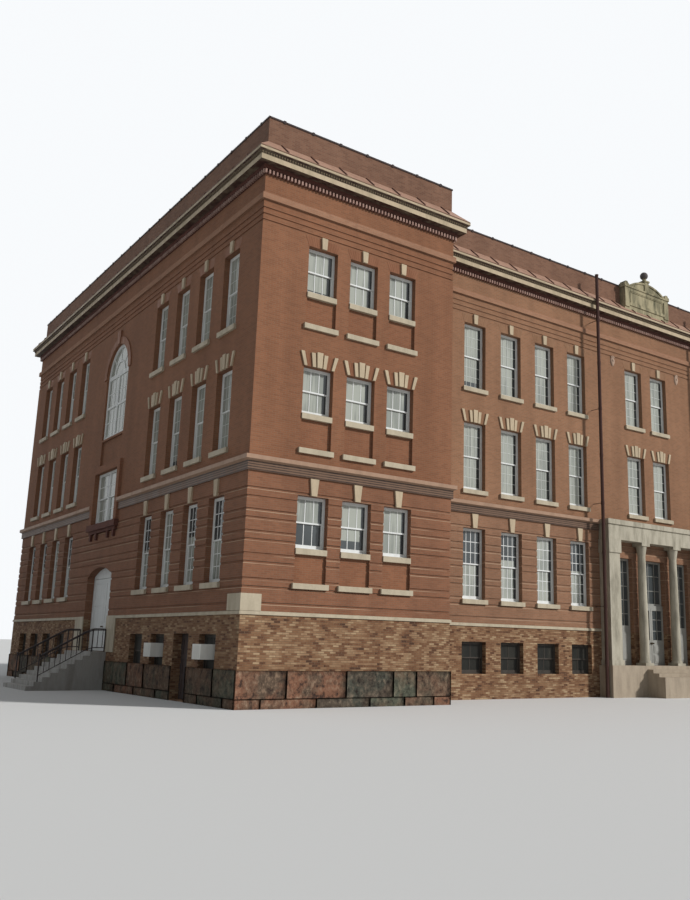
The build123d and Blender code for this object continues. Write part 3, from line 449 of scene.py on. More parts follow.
def weathered_material(
        name, color, dirt, amount, grain=30.0, depth=0.003, strength=0.4, bands=(), underside_shade=None):
    """Finish that stands outdoors. A band is level and has its middle, half its height and a colour;
    the underside colour is painted shade, given to faces that look down."""
    made, tree, surface = new_material(name)
    level = use_group(tree, wall_coordinates)["Height"] if bands else None
    for middle, half, band_color in bands:
        color = blend(tree, math_node(tree, "COMPARE", level, middle, half), color, band_color)
    if underside_shade:
        normal = new_node(tree, "TexCoord").outputs["Normal"]
        rising = new_node(tree, "SeparateXYZ", {0: normal}).outputs[2]
        color = blend(tree, math_node(tree, "LESS_THAN", rising, -0.6), color, underside_shade)
    worn = use_group(tree, weathering, {"Color": color, "Dirt": dirt, "Amount": amount, "Grain": grain})
    finish_surface(tree, surface, worn["Color"], worn["Roughness"], 0.3, worn["Height"], strength, depth)
    return made


def edges_of(verts):
    """All the edges of a block."""
    return list({edge for vert in verts for edge in vert.link_edges})


def round_edges(bm, verts, offset, segments):
    """Bevels all the edges of a block."""
    bmesh.ops.bevel(bm, geom=edges_of(verts), offset=offset, affect="EDGES", segments=segments, profile=0.5,
                    material=-1)


limestone = weathered_material("limestone", (0.41, 0.35, 0.255), (0.25, 0.21, 0.15), 0.5)
dress(limestone, "water_table", "cornerstone", "window_sills", "keystones", "door_jamb_stones", "shields",
      "sash_sills")
# The four near-black bands are painted shade in the hollows between the string course's mouldings.
course_stone = weathered_material(
    "course_stone", (0.32, 0.205, 0.140), (0.17, 0.108, 0.074), 0.35, bands=(
        (3.553, 0.0735, (0.150, 0.094, 0.064)), (3.614, 0.011, (0.030, 0.019, 0.015)),
        (3.576, 0.008, (0.036, 0.023, 0.018)), (3.538, 0.008, (0.036, 0.023, 0.018)),
        (3.498, 0.010, (0.040, 0.026, 0.020)),
    ))
dress(course_stone, "string_course")

corner_bm = bmesh.new()
corner_block = add_block(corner_bm, here, (-half_length - 0.012, -half_depth - 0.0005, 1.4),
                         (-half_length + 0.004, -half_depth + 0.43, 1.65))
round_edges(corner_bm, corner_block, 0.002, 1)
make_piece("cornerstone_return", corner_bm, [limestone])


# Rough plinth stones
# Large quarry-faced stones at the foot of the pavilions and sides, red, brown, grey and green in turn,
# in two rows with open joints, backed by a dark strip of painted shade. Their edges are worn back and
# their faces are left as they split, with painted shade in their hollows.
facades = {
    "street": Matrix.Identity(4),
    "left": Matrix.Rotation(math.radians(-90), 4, "Z"),
    "back": Matrix.Rotation(math.radians(180), 4, "Z"),
    "right": Matrix.Rotation(math.radians(90), 4, "Z"),
}


def plinth_material(name, tone, stain, light, dark):
    """Rough stone of one quarry tone, with broad stains, a light crust and painted shade in its hollows."""
    made, tree, surface = new_material(name)
    place = new_node(tree, "TexCoord").outputs["Object"]
    crust = noise_node(tree, stretch(tree, place, (11.0, 11.0, 9.0)), 1.0, 8.0, 0.72)
    broad = noise_node(tree, place, 2.6, 4.0, 0.6)
    color = blend(tree, spread(tree, broad, 0.42, 0.60), tone, stain)
    color = blend(tree, spread(tree, crust, 0.52, 0.66), color, light)
    # The dark colour in the low places of the crust is painted shade in the stone's hollows.
    color = blend(tree, spread(tree, crust, 0.49, 0.38), color, dark)
    finish_surface(tree, surface, color, 0.92, 0.2, crust, 0.9, 0.03)
    return made


def add_rough_stone(bm, place, low, high, material):
    """Block with worn edges and an uneven outer face."""
    wear, wear_width, unevenness = 0.013, 0.05, 0.009
    block = add_block(bm, place, low, high, material)
    split = bmesh.ops.subdivide_edges(bm, edges=edges_of(block), cuts=6, use_grid_fill=True)["geom"]
    undo = place.inverted()
    for vert in {vert for edge in split if isinstance(edge, bmesh.types.BMEdge) for vert in edge.verts}:
        spot = undo @ vert.co
        if spot.y < low[1] + 0.001:
            margin = min(spot.x - low[0], high[0] - spot.x, spot.z - low[2], high[2] - spot.z)
            worn = wear * (1.0 - min(1.0, margin / wear_width)) ** 2
            grain = Vector((vert.co.x + vert.co.y, vert.co.y - vert.co.x, vert.co.z)) * 6.0
            spot.y += worn + 0.007 + unevenness * noise.noise(grain)
            vert.co = place @ spot


plinth_materials = [plinth_material("plinth_" + name, *colors) for name, *colors in (
    ("red", (0.185, 0.090, 0.055), (0.095, 0.066, 0.046), (0.250, 0.170, 0.115), (0.040, 0.026, 0.021)),
    ("brown", (0.125, 0.074, 0.049), (0.080, 0.064, 0.045), (0.205, 0.145, 0.098), (0.034, 0.024, 0.019)),
    ("grey", (0.072, 0.055, 0.041), (0.058, 0.058, 0.045), (0.160, 0.125, 0.090), (0.024, 0.019, 0.016)),
    ("green", (0.075, 0.078, 0.056), (0.115, 0.078, 0.052), (0.160, 0.140, 0.100), (0.030, 0.027, 0.022)),
    ("joint", (0.040, 0.031, 0.025), (0.030, 0.024, 0.020), (0.055, 0.043, 0.034), (0.018, 0.014, 0.011)),
)]
# The joint finish is painted shade behind the open joints.
joint_shade_finish = 4
pavilion_edges, pavilion_tones = (-10.777, -9.932, -8.873, -7.974, -7.509, -6.777), (0, 0, 2, 3, 1)
plinth_runs = []
for facade in ("street", "back"):
    plinth_runs.append((facade, half_depth, pavilion_edges, pavilion_tones))
    edges = [-edge for edge in reversed(pavilion_edges)]
    plinth_runs.append((facade, half_depth, edges, pavilion_tones[::-1]))
side_end, door_edge, side_tones, stone_length = 6.417, 0.823, (0, 2, 1, 3, 0, 1), 0.95
for facade, runs in (
    ("left", ((-side_end, -door_edge), (door_edge, 4.0485), (4.6545, side_end))),
    ("right", ((-side_end, -door_edge), (door_edge, side_end))),
):
    for start, end in runs:
        count = max(2, round((end - start) / stone_length))
        shifts = [(0.14 if index % 2 else -0.10) * (0 < index < count) for index in range(count + 1)]
        edges = [start + (end - start) * (index + shift) / count for index, shift in enumerate(shifts)]
        tones = [side_tones[(index + count) % 6] for index in range(count)]
        plinth_runs.append((facade, half_length, edges, tones))
for side in (1, -1):
    start, end = span(side, 5.369, side_end)
    for facade in ("left", "right"):
        plinth_runs.append((facade, -pavilion_edge, (start, start + 0.58, end), (2, 1)))

plinth_bm = bmesh.new()
half_gap, stone_proud = 0.008, 0.030
for facade, face, edges, tones in plinth_runs:
    place, back = facades[facade], -face + 0.001
    foot_edges = [edges[0], *((left + right) / 2 for left, right in zip(edges, edges[1:])), edges[-1]]
    for row_edges, bottom, top in ((edges, 0.146, 0.545), (foot_edges, 0.0, 0.138)):
        for index, (left, right) in enumerate(zip(row_edges, row_edges[1:])):
            low, high = (left + half_gap, -face - stone_proud, bottom), (right - half_gap, back, top)
            add_rough_stone(plinth_bm, place, low, high, tones[index % len(tones)])
    start, end = edges[0] + 0.012, edges[-1] - 0.012
    # Dark backing strip in the open joints: painted shade for the deep gaps between the stones.
    add_block(plinth_bm, place, (start, -face - 0.006, 0.002), (end, back, 0.540), joint_shade_finish)
for face in plinth_bm.faces:
    face.smooth = face.material_index < joint_shade_finish
plinth_blocks = make_piece("plinth_blocks", plinth_bm, plinth_materials)
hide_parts("plinth_stones")


# Cornice, roofs and floors
# The cornice is pressed metal in cream-green paint, with painted shade on its undersides, in the
# hollow between its fascias and in a line under the eaves. The pent roof is faded reddish sheet
# metal, the flat roof is felt, and the floors, landings and side steps are concrete.
# The underside colour and the two dark bands are painted shade: under the soffit, in the hollow between the
# fascias and under the drip edge of the eaves.
cornice_paint = weathered_material(
    "cornice_paint", (0.43, 0.345, 0.235), (0.24, 0.20, 0.13), 0.55, 20.0, underside_shade=(0.050, 0.022, 0.017),
    bands=((8.631, 0.036, (0.080, 0.056, 0.038)), (8.714, 0.012, (0.105, 0.052, 0.034))))
dress(cornice_paint, "street_cornices", "side_cornices")
roof_metal = weathered_material("roof_metal", (0.305, 0.180, 0.125), (0.20, 0.115, 0.085), 0.6, 12.0)
dress(roof_metal, "street_pent_roofs", "side_pent_roofs")
felt = weathered_material("roofing_felt", (0.10, 0.10, 0.10), (0.16, 0.155, 0.15), 0.5, 60.0)
dress(felt, "pavilion_roofs", "centre_roof")
concrete = weathered_material("concrete", (0.32, 0.305, 0.28), (0.20, 0.185, 0.165), 0.7, 40.0)
dress(concrete, "stoops", "centre_floors", "side_floors", "pavilion_floors", "entry_landings")


# Painted joinery and iron
# White paint on the timber of the side doors, frames and sashes. The coping is sheet metal and the
# basement door is sheeted, both in worn dark paint, as are the stoop rails.
white_paint = weathered_material(
    "white_paint", (0.66, 0.665, 0.645), (0.46, 0.45, 0.42), 0.35, 40.0, 0.001, 0.2)
dress(white_paint, "side_door_frames", "side_door_front_leaf", "side_door_back_leaf", "right_side_doors",
      "front_entry_joinery", "stair_windows", "basement_windows")
dark_metal = weathered_material(
    "dark_metal", (0.035, 0.028, 0.028), (0.08, 0.05, 0.04), 0.5, 50.0, 0.001, 0.3)
dress(dark_metal, "coping", "basement_door")


# Portico
# Square piers at the ends, round columns with spreading capitals between them, and a plain entablature,
# all in old cream-grey paint, darkened and streaked partly as painted shade of a street tree, on a stone
# platform with steps.
# The paint is kept dark partly for its own grime and partly as painted shade from a street tree.
portico_paint = weathered_material("portico_paint", (0.375, 0.340, 0.265), (0.165, 0.148, 0.112), 0.85)
dress(portico_paint, "portico_piers", "portico_columns", "portico_entablature")
platform_stone = weathered_material("platform_stone", (0.33, 0.27, 0.20), (0.20, 0.16, 0.12), 0.6)
dress(platform_stone, "entry_platform")


# Double-hung windows
# Painted timber sashes in a box frame: the upper sash stands in front of the lower one. The end
# pavilions have three tall lights to a sash, and the other windows have twelve small ones.
pavilion_centres = [side * (9.599 - 0.822 * index) for side in (-1, 1) for index in range(3)]
centre_centres = [side * (5.3415 - 0.985 * index) for side in (-1, 1) for index in range(4)]
side_centres = [side * (5.3585 - 1.007 * index) for side in (-1, 1) for index in range(4)]
bay_centres = (-0.455, 0.455)
floors = (1.4, 3.5, 5.6)
sills, heads, sash_sills = (0.44, 0.45, 0.41), (1.8, 1.8, 1.76), (0.975, 1.02, 0.96)
fronts, sides = ("street", "back"), ("left", "right")
window_rows = [(facade, face, centres, width) for names, face, centres, width in (
    (fronts, half_depth, pavilion_centres, 0.563), (fronts, centre_depth, centre_centres, 0.563),
    (sides, half_length, side_centres, 0.569), (fronts, centre_depth, bay_centres, 0.585),
) for facade in names]


def windows_of(storey):
    """Place, wall face, centre, width and kind of each window of a storey; the entrance takes up two."""
    for facade, face, centres, width in window_rows:
        if storey or facade != "street" or centres is not bay_centres:
            for centre in centres:
                yield facades[facade], face, centre, width, centres is pavilion_centres


def make_window_glass():
    """Dark glass with lighter patches of painted sheen."""
    made, tree, surface = new_material("window_glass")
    painted_sheen = noise_node(tree, new_node(tree, "TexCoord").outputs["Object"], 1.3, 3.0)
    color = blend(tree, painted_sheen, (0.020, 0.024, 0.026), (0.085, 0.095, 0.095))
    finish_surface(tree, surface, color, 0.06, 0.5)
    return made


def make_curtained_glass():
    """Glass with pale curtains behind it, with painted shade in the hollows of their folds, deeper in some
    rooms.
    """
    made, tree, surface = new_material("curtained_glass")
    place = use_group(tree, wall_coordinates)["Position"]
    folds = noise_node(tree, stretch(tree, place, (17.0, 0.9, 1.0)), 1.0, 3.0, 0.6)
    rooms = noise_node(tree, stretch(tree, place, (1.3, 0.8, 1.0)), 1.0, 2.0)
    # The hollow mask is painted shade in the curtain folds.
    hollow = math_node(tree, "ADD", folds, math_node(tree, "MULTIPLY", rooms, 0.8))
    hollow = spread(tree, hollow, 0.86, 1.02, 0.0, 0.85)
    color = blend(tree, hollow, (0.320, 0.332, 0.288), (0.205, 0.216, 0.193))
    finish_surface(tree, surface, color, 0.12, 0.5)
    return made


pane_glass, blind_cloth = make_window_glass(), make_curtained_glass()
bar_paint = weathered_material("bar_paint", (0.47, 0.48, 0.45), (0.34, 0.34, 0.31), 0.35, 40.0, 0.001, 0.2)
sash_rail, sash_depth = 0.024, 0.018


def divisions(low, high, count):
    """Middles of the bars that part a field into equal shares."""
    return [low + (high - low) * index / count for index in range(1, count)]


def add_frame(bm, place, left, right, bottom, top, front, back, post, foot):
    """Two posts, and a foot and a head rail between them; the head rail is as thick as the posts."""
    add_block(bm, place, (left, front, bottom), (left + post, back, top))
    add_block(bm, place, (right - post, front, bottom), (right, back, top))
    add_block(bm, place, (left + post, front, bottom), (right - post, back, bottom + foot))
    add_block(bm, place, (left + post, front, top - post), (right - post, back, top))


def add_sash(bm, place, left, right, bottom, top, front, foot, columns, rows, bar, bar_finish):
    """One sash: stiles, rails, bars, and its pane of glass."""
    back, half_bar, half_rail = front + sash_depth, bar / 2, sash_rail / 2
    add_frame(bm, place, left, right, bottom, top, front, back, sash_rail, foot)
    for middle in divisions(left + sash_rail, right - sash_rail, columns):
        add_block(bm, place, (middle - half_bar, front + 0.003, bottom + foot),
                  (middle + half_bar, back - 0.003, top - sash_rail), bar_finish)
    for middle in divisions(bottom + foot, top - sash_rail, rows):
        add_block(bm, place, (left + sash_rail, front + 0.004, middle - half_bar),
                  (right - sash_rail, back - 0.004, middle + half_bar), bar_finish)
    add_block(bm, place, (left + half_rail, front + 0.008, bottom + half_rail),
              (right - half_rail, front + 0.012, top - half_rail), 1)


def add_window(bm, place, face, centre, width, bottom, top, columns, rows, blind=None, bar=0.013, finish=0):
    """Box frame with two sashes; blind gives the shares of the height, from the top, that are covered."""
    post, foot, lap = 0.024, 0.0192, 0.012
    front, meeting = -face + 0.100, (bottom + top) / 2
    left, right = centre - width / 2, centre + width / 2
    add_frame(bm, place, left, right, bottom, top, front, front + 0.060, post, foot)
    left, right, foot_top, head_foot = left + post, right - post, bottom + foot, top - post
    bars = (columns, rows, bar, finish)
    add_sash(bm, place, left, right, meeting - lap, head_foot, front + 0.008, sash_rail, *bars)
    add_sash(bm, place, left, right, foot_top, meeting + lap, front + 0.028, 0.052, *bars)
    if blind:
        high, low = (top - (top - bottom) * share for share in blind)
        # The blind stops short of the right jamb, so the strip of dark glass there is painted shadow of that
        # jamb.
        cover_right = right - sash_rail - 0.07 * width / 0.563
        for field_low, field_high, depth in ((meeting, head_foot, 0.0155), (foot_top, meeting, 0.0355)):
            cover_low, cover_high = max(low, field_low), min(high, field_high)
            if cover_high > cover_low:
                add_block(bm, place, (left, front + depth, cover_low),
                          (cover_right, front + depth + 0.0005, cover_high), 2)


upper_covers = (1.0, 1.0, 1.0, 0.88, 1.0, 0.95)
pavilion_covers, lower_covers = (0.6, 0.5, 0.75, 1.0), (0.46, 0.5, 0.40, 0.0)
for storey, node_name in enumerate(("first_floor_windows", "second_floor_windows", "third_floor_windows")):
    window_bm = bmesh.new()
    for count, (place, face, centre, width, in_pavilion) in enumerate(windows_of(storey), 1):
        cover = (0, upper_covers[(count * 5 + storey * 2) % 6])
        if storey == 0:
            cover = (0, pavilion_covers[count % 4]) if in_pavilion else (lower_covers[count % 4], 1.0)
        lights = (3, 1) if in_pavilion else (4, 3)
        bar, finish = (0.010, 3) if storey > 0 and not in_pavilion else (0.013, 0)
        bottom = floors[storey] + (sash_sills if in_pavilion else sills)[storey]
        top = floors[storey] + heads[storey]
        add_window(window_bm, place, face, centre, width, bottom, top, *lights, cover, bar, finish)
    windows = make_piece(node_name + "_sashes", window_bm, [white_paint, pane_glass, blind_cloth, bar_paint])
    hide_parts(node_name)


# Flat arches and keystones
# Over the first floor each window head is a flat arch of bricks on end, fanned from one point. The second
# floor has three limestone key blocks and one at each end of the arch; the other floors have one keystone.
key_stone = weathered_material("key_stone", (0.43, 0.345, 0.235), (0.27, 0.215, 0.15), 0.5)
arch_brick = weathered_material("arch_brick", (0.212, 0.094, 0.051), (0.165, 0.072, 0.040), 0.7, 45.0)
centre_arch_brick = weathered_material(
    "centre_arch_brick", (0.228, 0.124, 0.070), (0.182, 0.098, 0.055), 0.7, 45.0)


def add_wedge(bm, place, foot, crown, bottom, top, back, front, material=0):
    """Block with its own width at the foot and at the crown; front is the distance towards the street."""
    undo, middle = place.inverted(), (bottom + top) / 2
    for vert in add_block(bm, place, (-0.5, -front, bottom), (0.5, -back, top), material):
        spot = undo @ vert.co
        left, right = crown if spot.z > middle else foot
        spot.x = left if spot.x < 0 else right
        vert.co = place @ spot


def add_head(bm, place, face, centre, width, head, storey, brick):
    """Keystones of one window, and the bricks of its flat arch over the first floor."""
    half, rise, bricks, splay = width / 2, (0.27, 0.25, 0.20)[storey], 14, 0.07
    fan = (half + splay) / half

    def wedge(low, high, bottom, top, back, front, material=0):
        add_wedge(bm, place, (centre + low, centre + high), (centre + low * fan, centre + high * fan),
                  head + bottom, head + top, face - back, face + front, material)

    if storey == 0:
        add_wedge(bm, place, (centre - 0.050, centre + 0.050), (centre - 0.078, centre + 0.078),
                  head + 0.004, head + 0.275, face - 0.02, face + 0.032)
        return
    wedge(-0.045, 0.045, 0.004, rise + (0.012 if storey == 1 else 0.0), 0.02, 0.034)
    if storey == 1:
        for side in (-1, 1):
            for near, far in ((0.068, 0.125), (half - 0.052, half)):
                wedge(*span(side, near, far), 0.004, rise - 0.012, 0.02, 0.026)
    for index in range(bricks):
        low = -half + width * index / bricks
        high = low + width / bricks - 0.003
        middle = abs((low + high) / 2)
        if middle < 0.045 or storey == 1 and (0.06 < middle < 0.133 or middle > half - 0.055):
            continue
        wedge(low, high, 0.002, rise - 0.03, 0.01, 0.003, brick)


head_bm = bmesh.new()
for storey in range(3):
    for place, face, centre, width, in_pavilion in windows_of(storey):
        add_head(head_bm, place, face, centre, width, floors[storey] + heads[storey], storey,
                 2 if face == centre_depth else 1)
window_heads = make_piece(
    "window_heads", head_bm, [key_stone, arch_brick, centre_arch_brick])
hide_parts("keystones")


# Dentils, cornice leaves and roof seams
# Under the soffit runs a row of small dentils, each with a dark cap of painted shade. A moulding of
# small leaves lies between the two cornice fascias, and folded seams stand up from the sheet metal
# of the pent roof, dark with painted shade.
wall_runs = []
for front, end in zip(fronts, sides):
    wall_runs += [
        (front, half_depth, -half_length, -pavilion_edge, 1, 1),
        (front, half_depth, pavilion_edge, half_length, 1, 1),
        (front, centre_depth, -pavilion_edge, pavilion_edge, -1, -1),
        (end, half_length, -half_depth, half_depth, 1, 1),
        (end, -pavilion_edge, -half_depth, -centre_depth, 1, -1),
        (end, -pavilion_edge, centre_depth, half_depth, -1, 1),
    ]


def middles_along(run, reach, pitch):
    """Middles of equal steps along a wall run, for something that stands out by a reach."""
    start, end, start_turn, end_turn = run[2:]
    low, high = start - start_turn * reach, end + end_turn * reach
    count = max(1, round((high - low) / pitch))
    return [low + (high - low) / count * (index + 0.5) for index in range(count)]


dentil_paint = weathered_material("dentil_paint", (0.33, 0.215, 0.175), (0.14, 0.07, 0.055), 0.7, 40.0)
leaf_paint = weathered_material("leaf_paint", (0.155, 0.115, 0.072), (0.08, 0.06, 0.04), 0.7, 40.0)
# The seams' dark paint is painted shade, for the shadows the raised seams cast on the roof.
seam_shade_paint = weathered_material("seam_shade_paint", (0.115, 0.055, 0.040), (0.07, 0.04, 0.03), 0.6, 12.0)
leaf_bm, dentil_bm, seam_bm = bmesh.new(), bmesh.new(), bmesh.new()
dentil_foot, dentil_top, leaf_foot, leaf_top = 8.364, 8.428, 8.612, 8.650
eaves_level, eaves_out, roof_slope = 8.725, 0.225, 0.24 / 0.25
for run in wall_runs:
    place, face = facades[run[0]], run[1]
    for middle in middles_along(run, 0.05, 0.067):
        add_block(dentil_bm, place, (middle - 0.015, -face - 0.056, dentil_foot),
                  (middle + 0.015, -face - 0.020, dentil_top))
        # The dark cap over each dentil is painted shade under the soffit.
        add_block(dentil_bm, place, (middle - 0.016, -face - 0.050, dentil_top),
                  (middle + 0.016, -face - 0.020, dentil_top + 0.006), 1)
    for middle in middles_along(run, 0.19, 0.050):
        add_wedge(leaf_bm, place, (middle - 0.008, middle + 0.008), (middle - 0.018, middle + 0.018),
                  leaf_foot, leaf_top, face + 0.170, face + 0.194)
    undo = place.inverted()
    for middle in middles_along(run, 0.0, 0.55):
        for vert in add_block(seam_bm, place, (middle - 0.011, -face - 0.222, -0.002),
                              (middle + 0.011, -face + 0.022, 0.026)):
            spot = undo @ vert.co
            spot.z += eaves_level + (eaves_out + spot.y + face) * roof_slope
            vert.co = place @ spot
make_piece("dentils", dentil_bm, [dentil_paint, painted_shade_brick])
make_piece("cornice_leaves", leaf_bm, [leaf_paint])
make_piece("roof_seams", seam_bm, [seam_shade_paint])


# Tablet with pediment and ball
# Cast-stone tablet that stands on the cornice over the entrance: a bare sunk panel in a moulded frame,
# corner blocks with caps, a low rounded pediment with a rim, and a pedestal with a ball. It is streaked.
def add_cone(bm, place, radius, far_radius, low, high, segments):
    """Round piece along a place's own upward axis, from a low level to a high one."""
    bmesh.ops.create_cone(bm, cap_ends=True, segments=segments, radius1=radius, radius2=far_radius,
                          depth=high - low, matrix=place @ Matrix.Translation((0, 0, (low + high) / 2)))


def add_ball(bm, place, radius, around, upwards):
    """Ball, or an egg where the place is stretched."""
    made = bmesh.ops.create_uvsphere(
        bm, u_segments=around, v_segments=upwards, radius=radius, matrix=place)
    return made["verts"]


tablet_stone = weathered_material(
    "tablet_stone", (0.315, 0.272, 0.168), (0.072, 0.070, 0.045), 1.0, 18.0, 0.006, 0.6)
ball_stone = weathered_material("ball_stone", (0.105, 0.088, 0.082), (0.05, 0.045, 0.045), 0.7)
tablet_bm = bmesh.new()
tablet_front, tablet_back = -centre_depth - 0.140, -centre_depth + 0.025
tablet_foot, tablet_top, shelf_top, cap_foot, tablet_half, cap_half = 8.725, 9.365, 9.41, 9.455, 0.80, 0.825
add_block(tablet_bm, here, (-tablet_half, tablet_front + 0.016, tablet_foot),
          (tablet_half, tablet_back, tablet_top))
for out, members in (
    (0.004, ((-0.80, 8.88, -0.64, 9.365), (0.64, 8.88, 0.80, 9.365), (-0.64, 9.29, 0.64, 9.365),
             (-0.64, 8.93, 0.64, 8.99))),
    (-0.004, ((-0.61, 9.015, -0.59, 9.265), (0.59, 9.015, 0.61, 9.265), (-0.61, 9.265, 0.61, 9.285),
              (-0.61, 8.995, 0.61, 9.015))),
):
    for left, bottom, right, top in members:
        add_block(tablet_bm, here, (left, tablet_front - out, bottom), (right, tablet_front + 0.02, top))
shelf = add_block(tablet_bm, here, (-cap_half, tablet_front - 0.025, tablet_top),
                  (cap_half, tablet_back, shelf_top))
round_edges(tablet_bm, shelf, 0.008, 2)
for side in (-1, 1):
    near, far = span(side, 0.66, cap_half)
    middle = (near + far) / 2
    add_block(tablet_bm, here, (near, tablet_front - 0.020, shelf_top), (far, tablet_back, cap_foot))
    for vert in add_block(tablet_bm, here, (near + 0.012, tablet_front - 0.010, cap_foot),
                          (far - 0.012, tablet_back - 0.01, 9.51)):
        if vert.co.z > 9.5:
            vert.co.x = middle + (vert.co.x - middle) * 0.45
bow_radius, bow_half, bow_steps = 1.206, 0.66, 24
bow_centre, bow_foot = shelf_top + 0.210 - bow_radius, 9.405
for index in range(bow_steps):
    left, right = (-bow_half + 2 * bow_half * edge / bow_steps for edge in (index, index + 1))
    rises = [bow_centre + math.sqrt(bow_radius ** 2 - across ** 2) for across in (left, right)]
    for tall, front, lift in ((1.0, tablet_front + 0.012, 0.0), (0.045, tablet_front - 0.008, 0.001)):
        for vert in add_block(tablet_bm, here, (left, front, 0), (right, tablet_back, 1)):
            rise = rises[0] if vert.co.x < (left + right) / 2 else rises[1]
            vert.co.z = rise + lift if vert.co.z > 0.5 else max(bow_foot, rise - tall)
ball_back = (tablet_front - 0.025 + (tablet_front + tablet_back) / 2 + 0.075) / 2
ball_axis = Matrix.Translation((0, ball_back, 0))
for half, low, high in ((0.075, 9.41, 9.70), (0.092, 9.66, 9.70), (0.085, 9.41, 9.47)):
    add_block(tablet_bm, here, (-half, ball_back - half, low), (half, ball_back + half, high))
for radius, far_radius, low, high in ((0.075, 0.040, 9.70, 9.735), (0.040, 0.052, 9.735, 9.765)):
    add_cone(tablet_bm, ball_axis, radius, far_radius, low, high, 28)
ball = add_ball(tablet_bm, ball_axis @ Matrix.Translation((0, 0, 9.8455)), 0.095, 32, 20)
for face in {face for vert in ball for face in vert.link_faces}:
    face.material_index = 1
    face.smooth = True
tablet_carving = make_piece("tablet_carving", tablet_bm, [tablet_stone, ball_stone])
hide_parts("tablet")


# Shields
# Small carved cartouches of pale terracotta on either side of the top windows over the entrance, each
# with a raised rim and a boss.
shield_clay = weathered_material("shield_clay", (0.38, 0.27, 0.20), (0.17, 0.11, 0.08), 0.8, 50.0)
shield_bm = bmesh.new()
for side in (-1, 1):
    centre = side * 1.165
    for vert in add_ball(shield_bm, here, 1.0, 28, 16):
        pinch = 1.0 - 0.35 * max(0.0, -vert.co.z) ** 1.5
        across, out, rise = vert.co.x * 0.075 * pinch, vert.co.y * 0.030, vert.co.z * 0.118
        vert.co = (centre + across, -centre_depth - out, 7.455 + rise)
    for level, wide, tall, out in ((7.555, 0.062, 0.026, 0.024), (7.575, 0.030, 0.020, 0.030)):
        add_block(shield_bm, here, (centre - wide, -centre_depth - out, level - tall / 2),
                  (centre + wide, -centre_depth + 0.004, level + tall / 2))
    boss = Matrix.Translation((centre, -centre_depth - 0.027, 7.475))
    add_ball(shield_bm, boss @ Matrix.Diagonal((0.026, 0.016, 0.034, 1)), 1.0, 16, 10)
for face in shield_bm.faces:
    face.smooth = len(face.verts) < 5 and face.calc_area() < 0.0008
shield_carvings = make_piece("shield_carvings", shield_bm, [shield_clay])
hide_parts("shields")


# Basement windows
# Low two-light timber windows, painted dark, in openings without a stone sill. On the left side the
# basement door takes the place of one of them.
basement_paint = weathered_material(
    "basement_paint", (0.055, 0.046, 0.038), (0.03, 0.026, 0.022), 0.6, 40.0, 0.001)
dusty_glass = weathered_material(
    "dusty_glass", (0.012, 0.012, 0.010), (0.038, 0.036, 0.030), 0.8, 25.0, 0.0005, 0.1)
basement_bm = bmesh.new()
basement_door_centre = side_centres[5]
for facade, face, centres in (
    ("street", centre_depth, centre_centres), ("back", centre_depth, (*centre_centres, *bay_centres)),
    ("left", half_length, [centre for centre in side_centres if centre != basement_door_centre]),
    ("right", half_length, side_centres),
):
    for centre in centres:
        add_window(basement_bm, facades[facade], face, centre, 0.6, 0.465, 1.055, 2, 1)
basement_sashes = make_piece("basement_sashes", basement_bm, [basement_paint, dusty_glass])
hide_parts("basement_windows")


# Stair windows
# A pair of double-hung windows, and over it a tall round-headed window of two lights with a transom
# bar at half height and a fan of bars in its arch. Their timber is painted white.
stair_bm = bmesh.new()
stair_front = -half_length + 0.040
pair_sill, pair_head, arch_sill, spring = 3.29, 4.375, 5.135, 6.50
curtain_finish = 2


def add_member(place, left, right, bottom, top, near, far, material=0):
    """Timber or pane of a stair window, with its distances behind the face of the frame."""
    add_block(stair_bm, place, (left, stair_front + near, bottom), (right, stair_front + far, top), material)


def add_half_ring(bm, place, level, inner, outer, front, back, material=0):
    """Half ring over a level, swept from a rectangle."""
    before = set(bm.verts)
    corners = ((inner, front), (outer, front), (outer, back), (inner, back))
    profile = bm.faces.new([bm.verts.new((x, y, 0)) for x, y in corners])
    bmesh.ops.spin(bm, geom=[profile], cent=(0, 0, 0), axis=(0, -1, 0), angle=math.pi, steps=24)
    made = [vert for vert in bm.verts if vert not in before]
    faces = list({face for vert in made for face in vert.link_faces})
    bmesh.ops.recalc_face_normals(bm, faces=faces)
    for face in faces:
        face.material_index = material
    for vert in made:
        vert.co = place @ (vert.co + Vector((0, 0, level)))


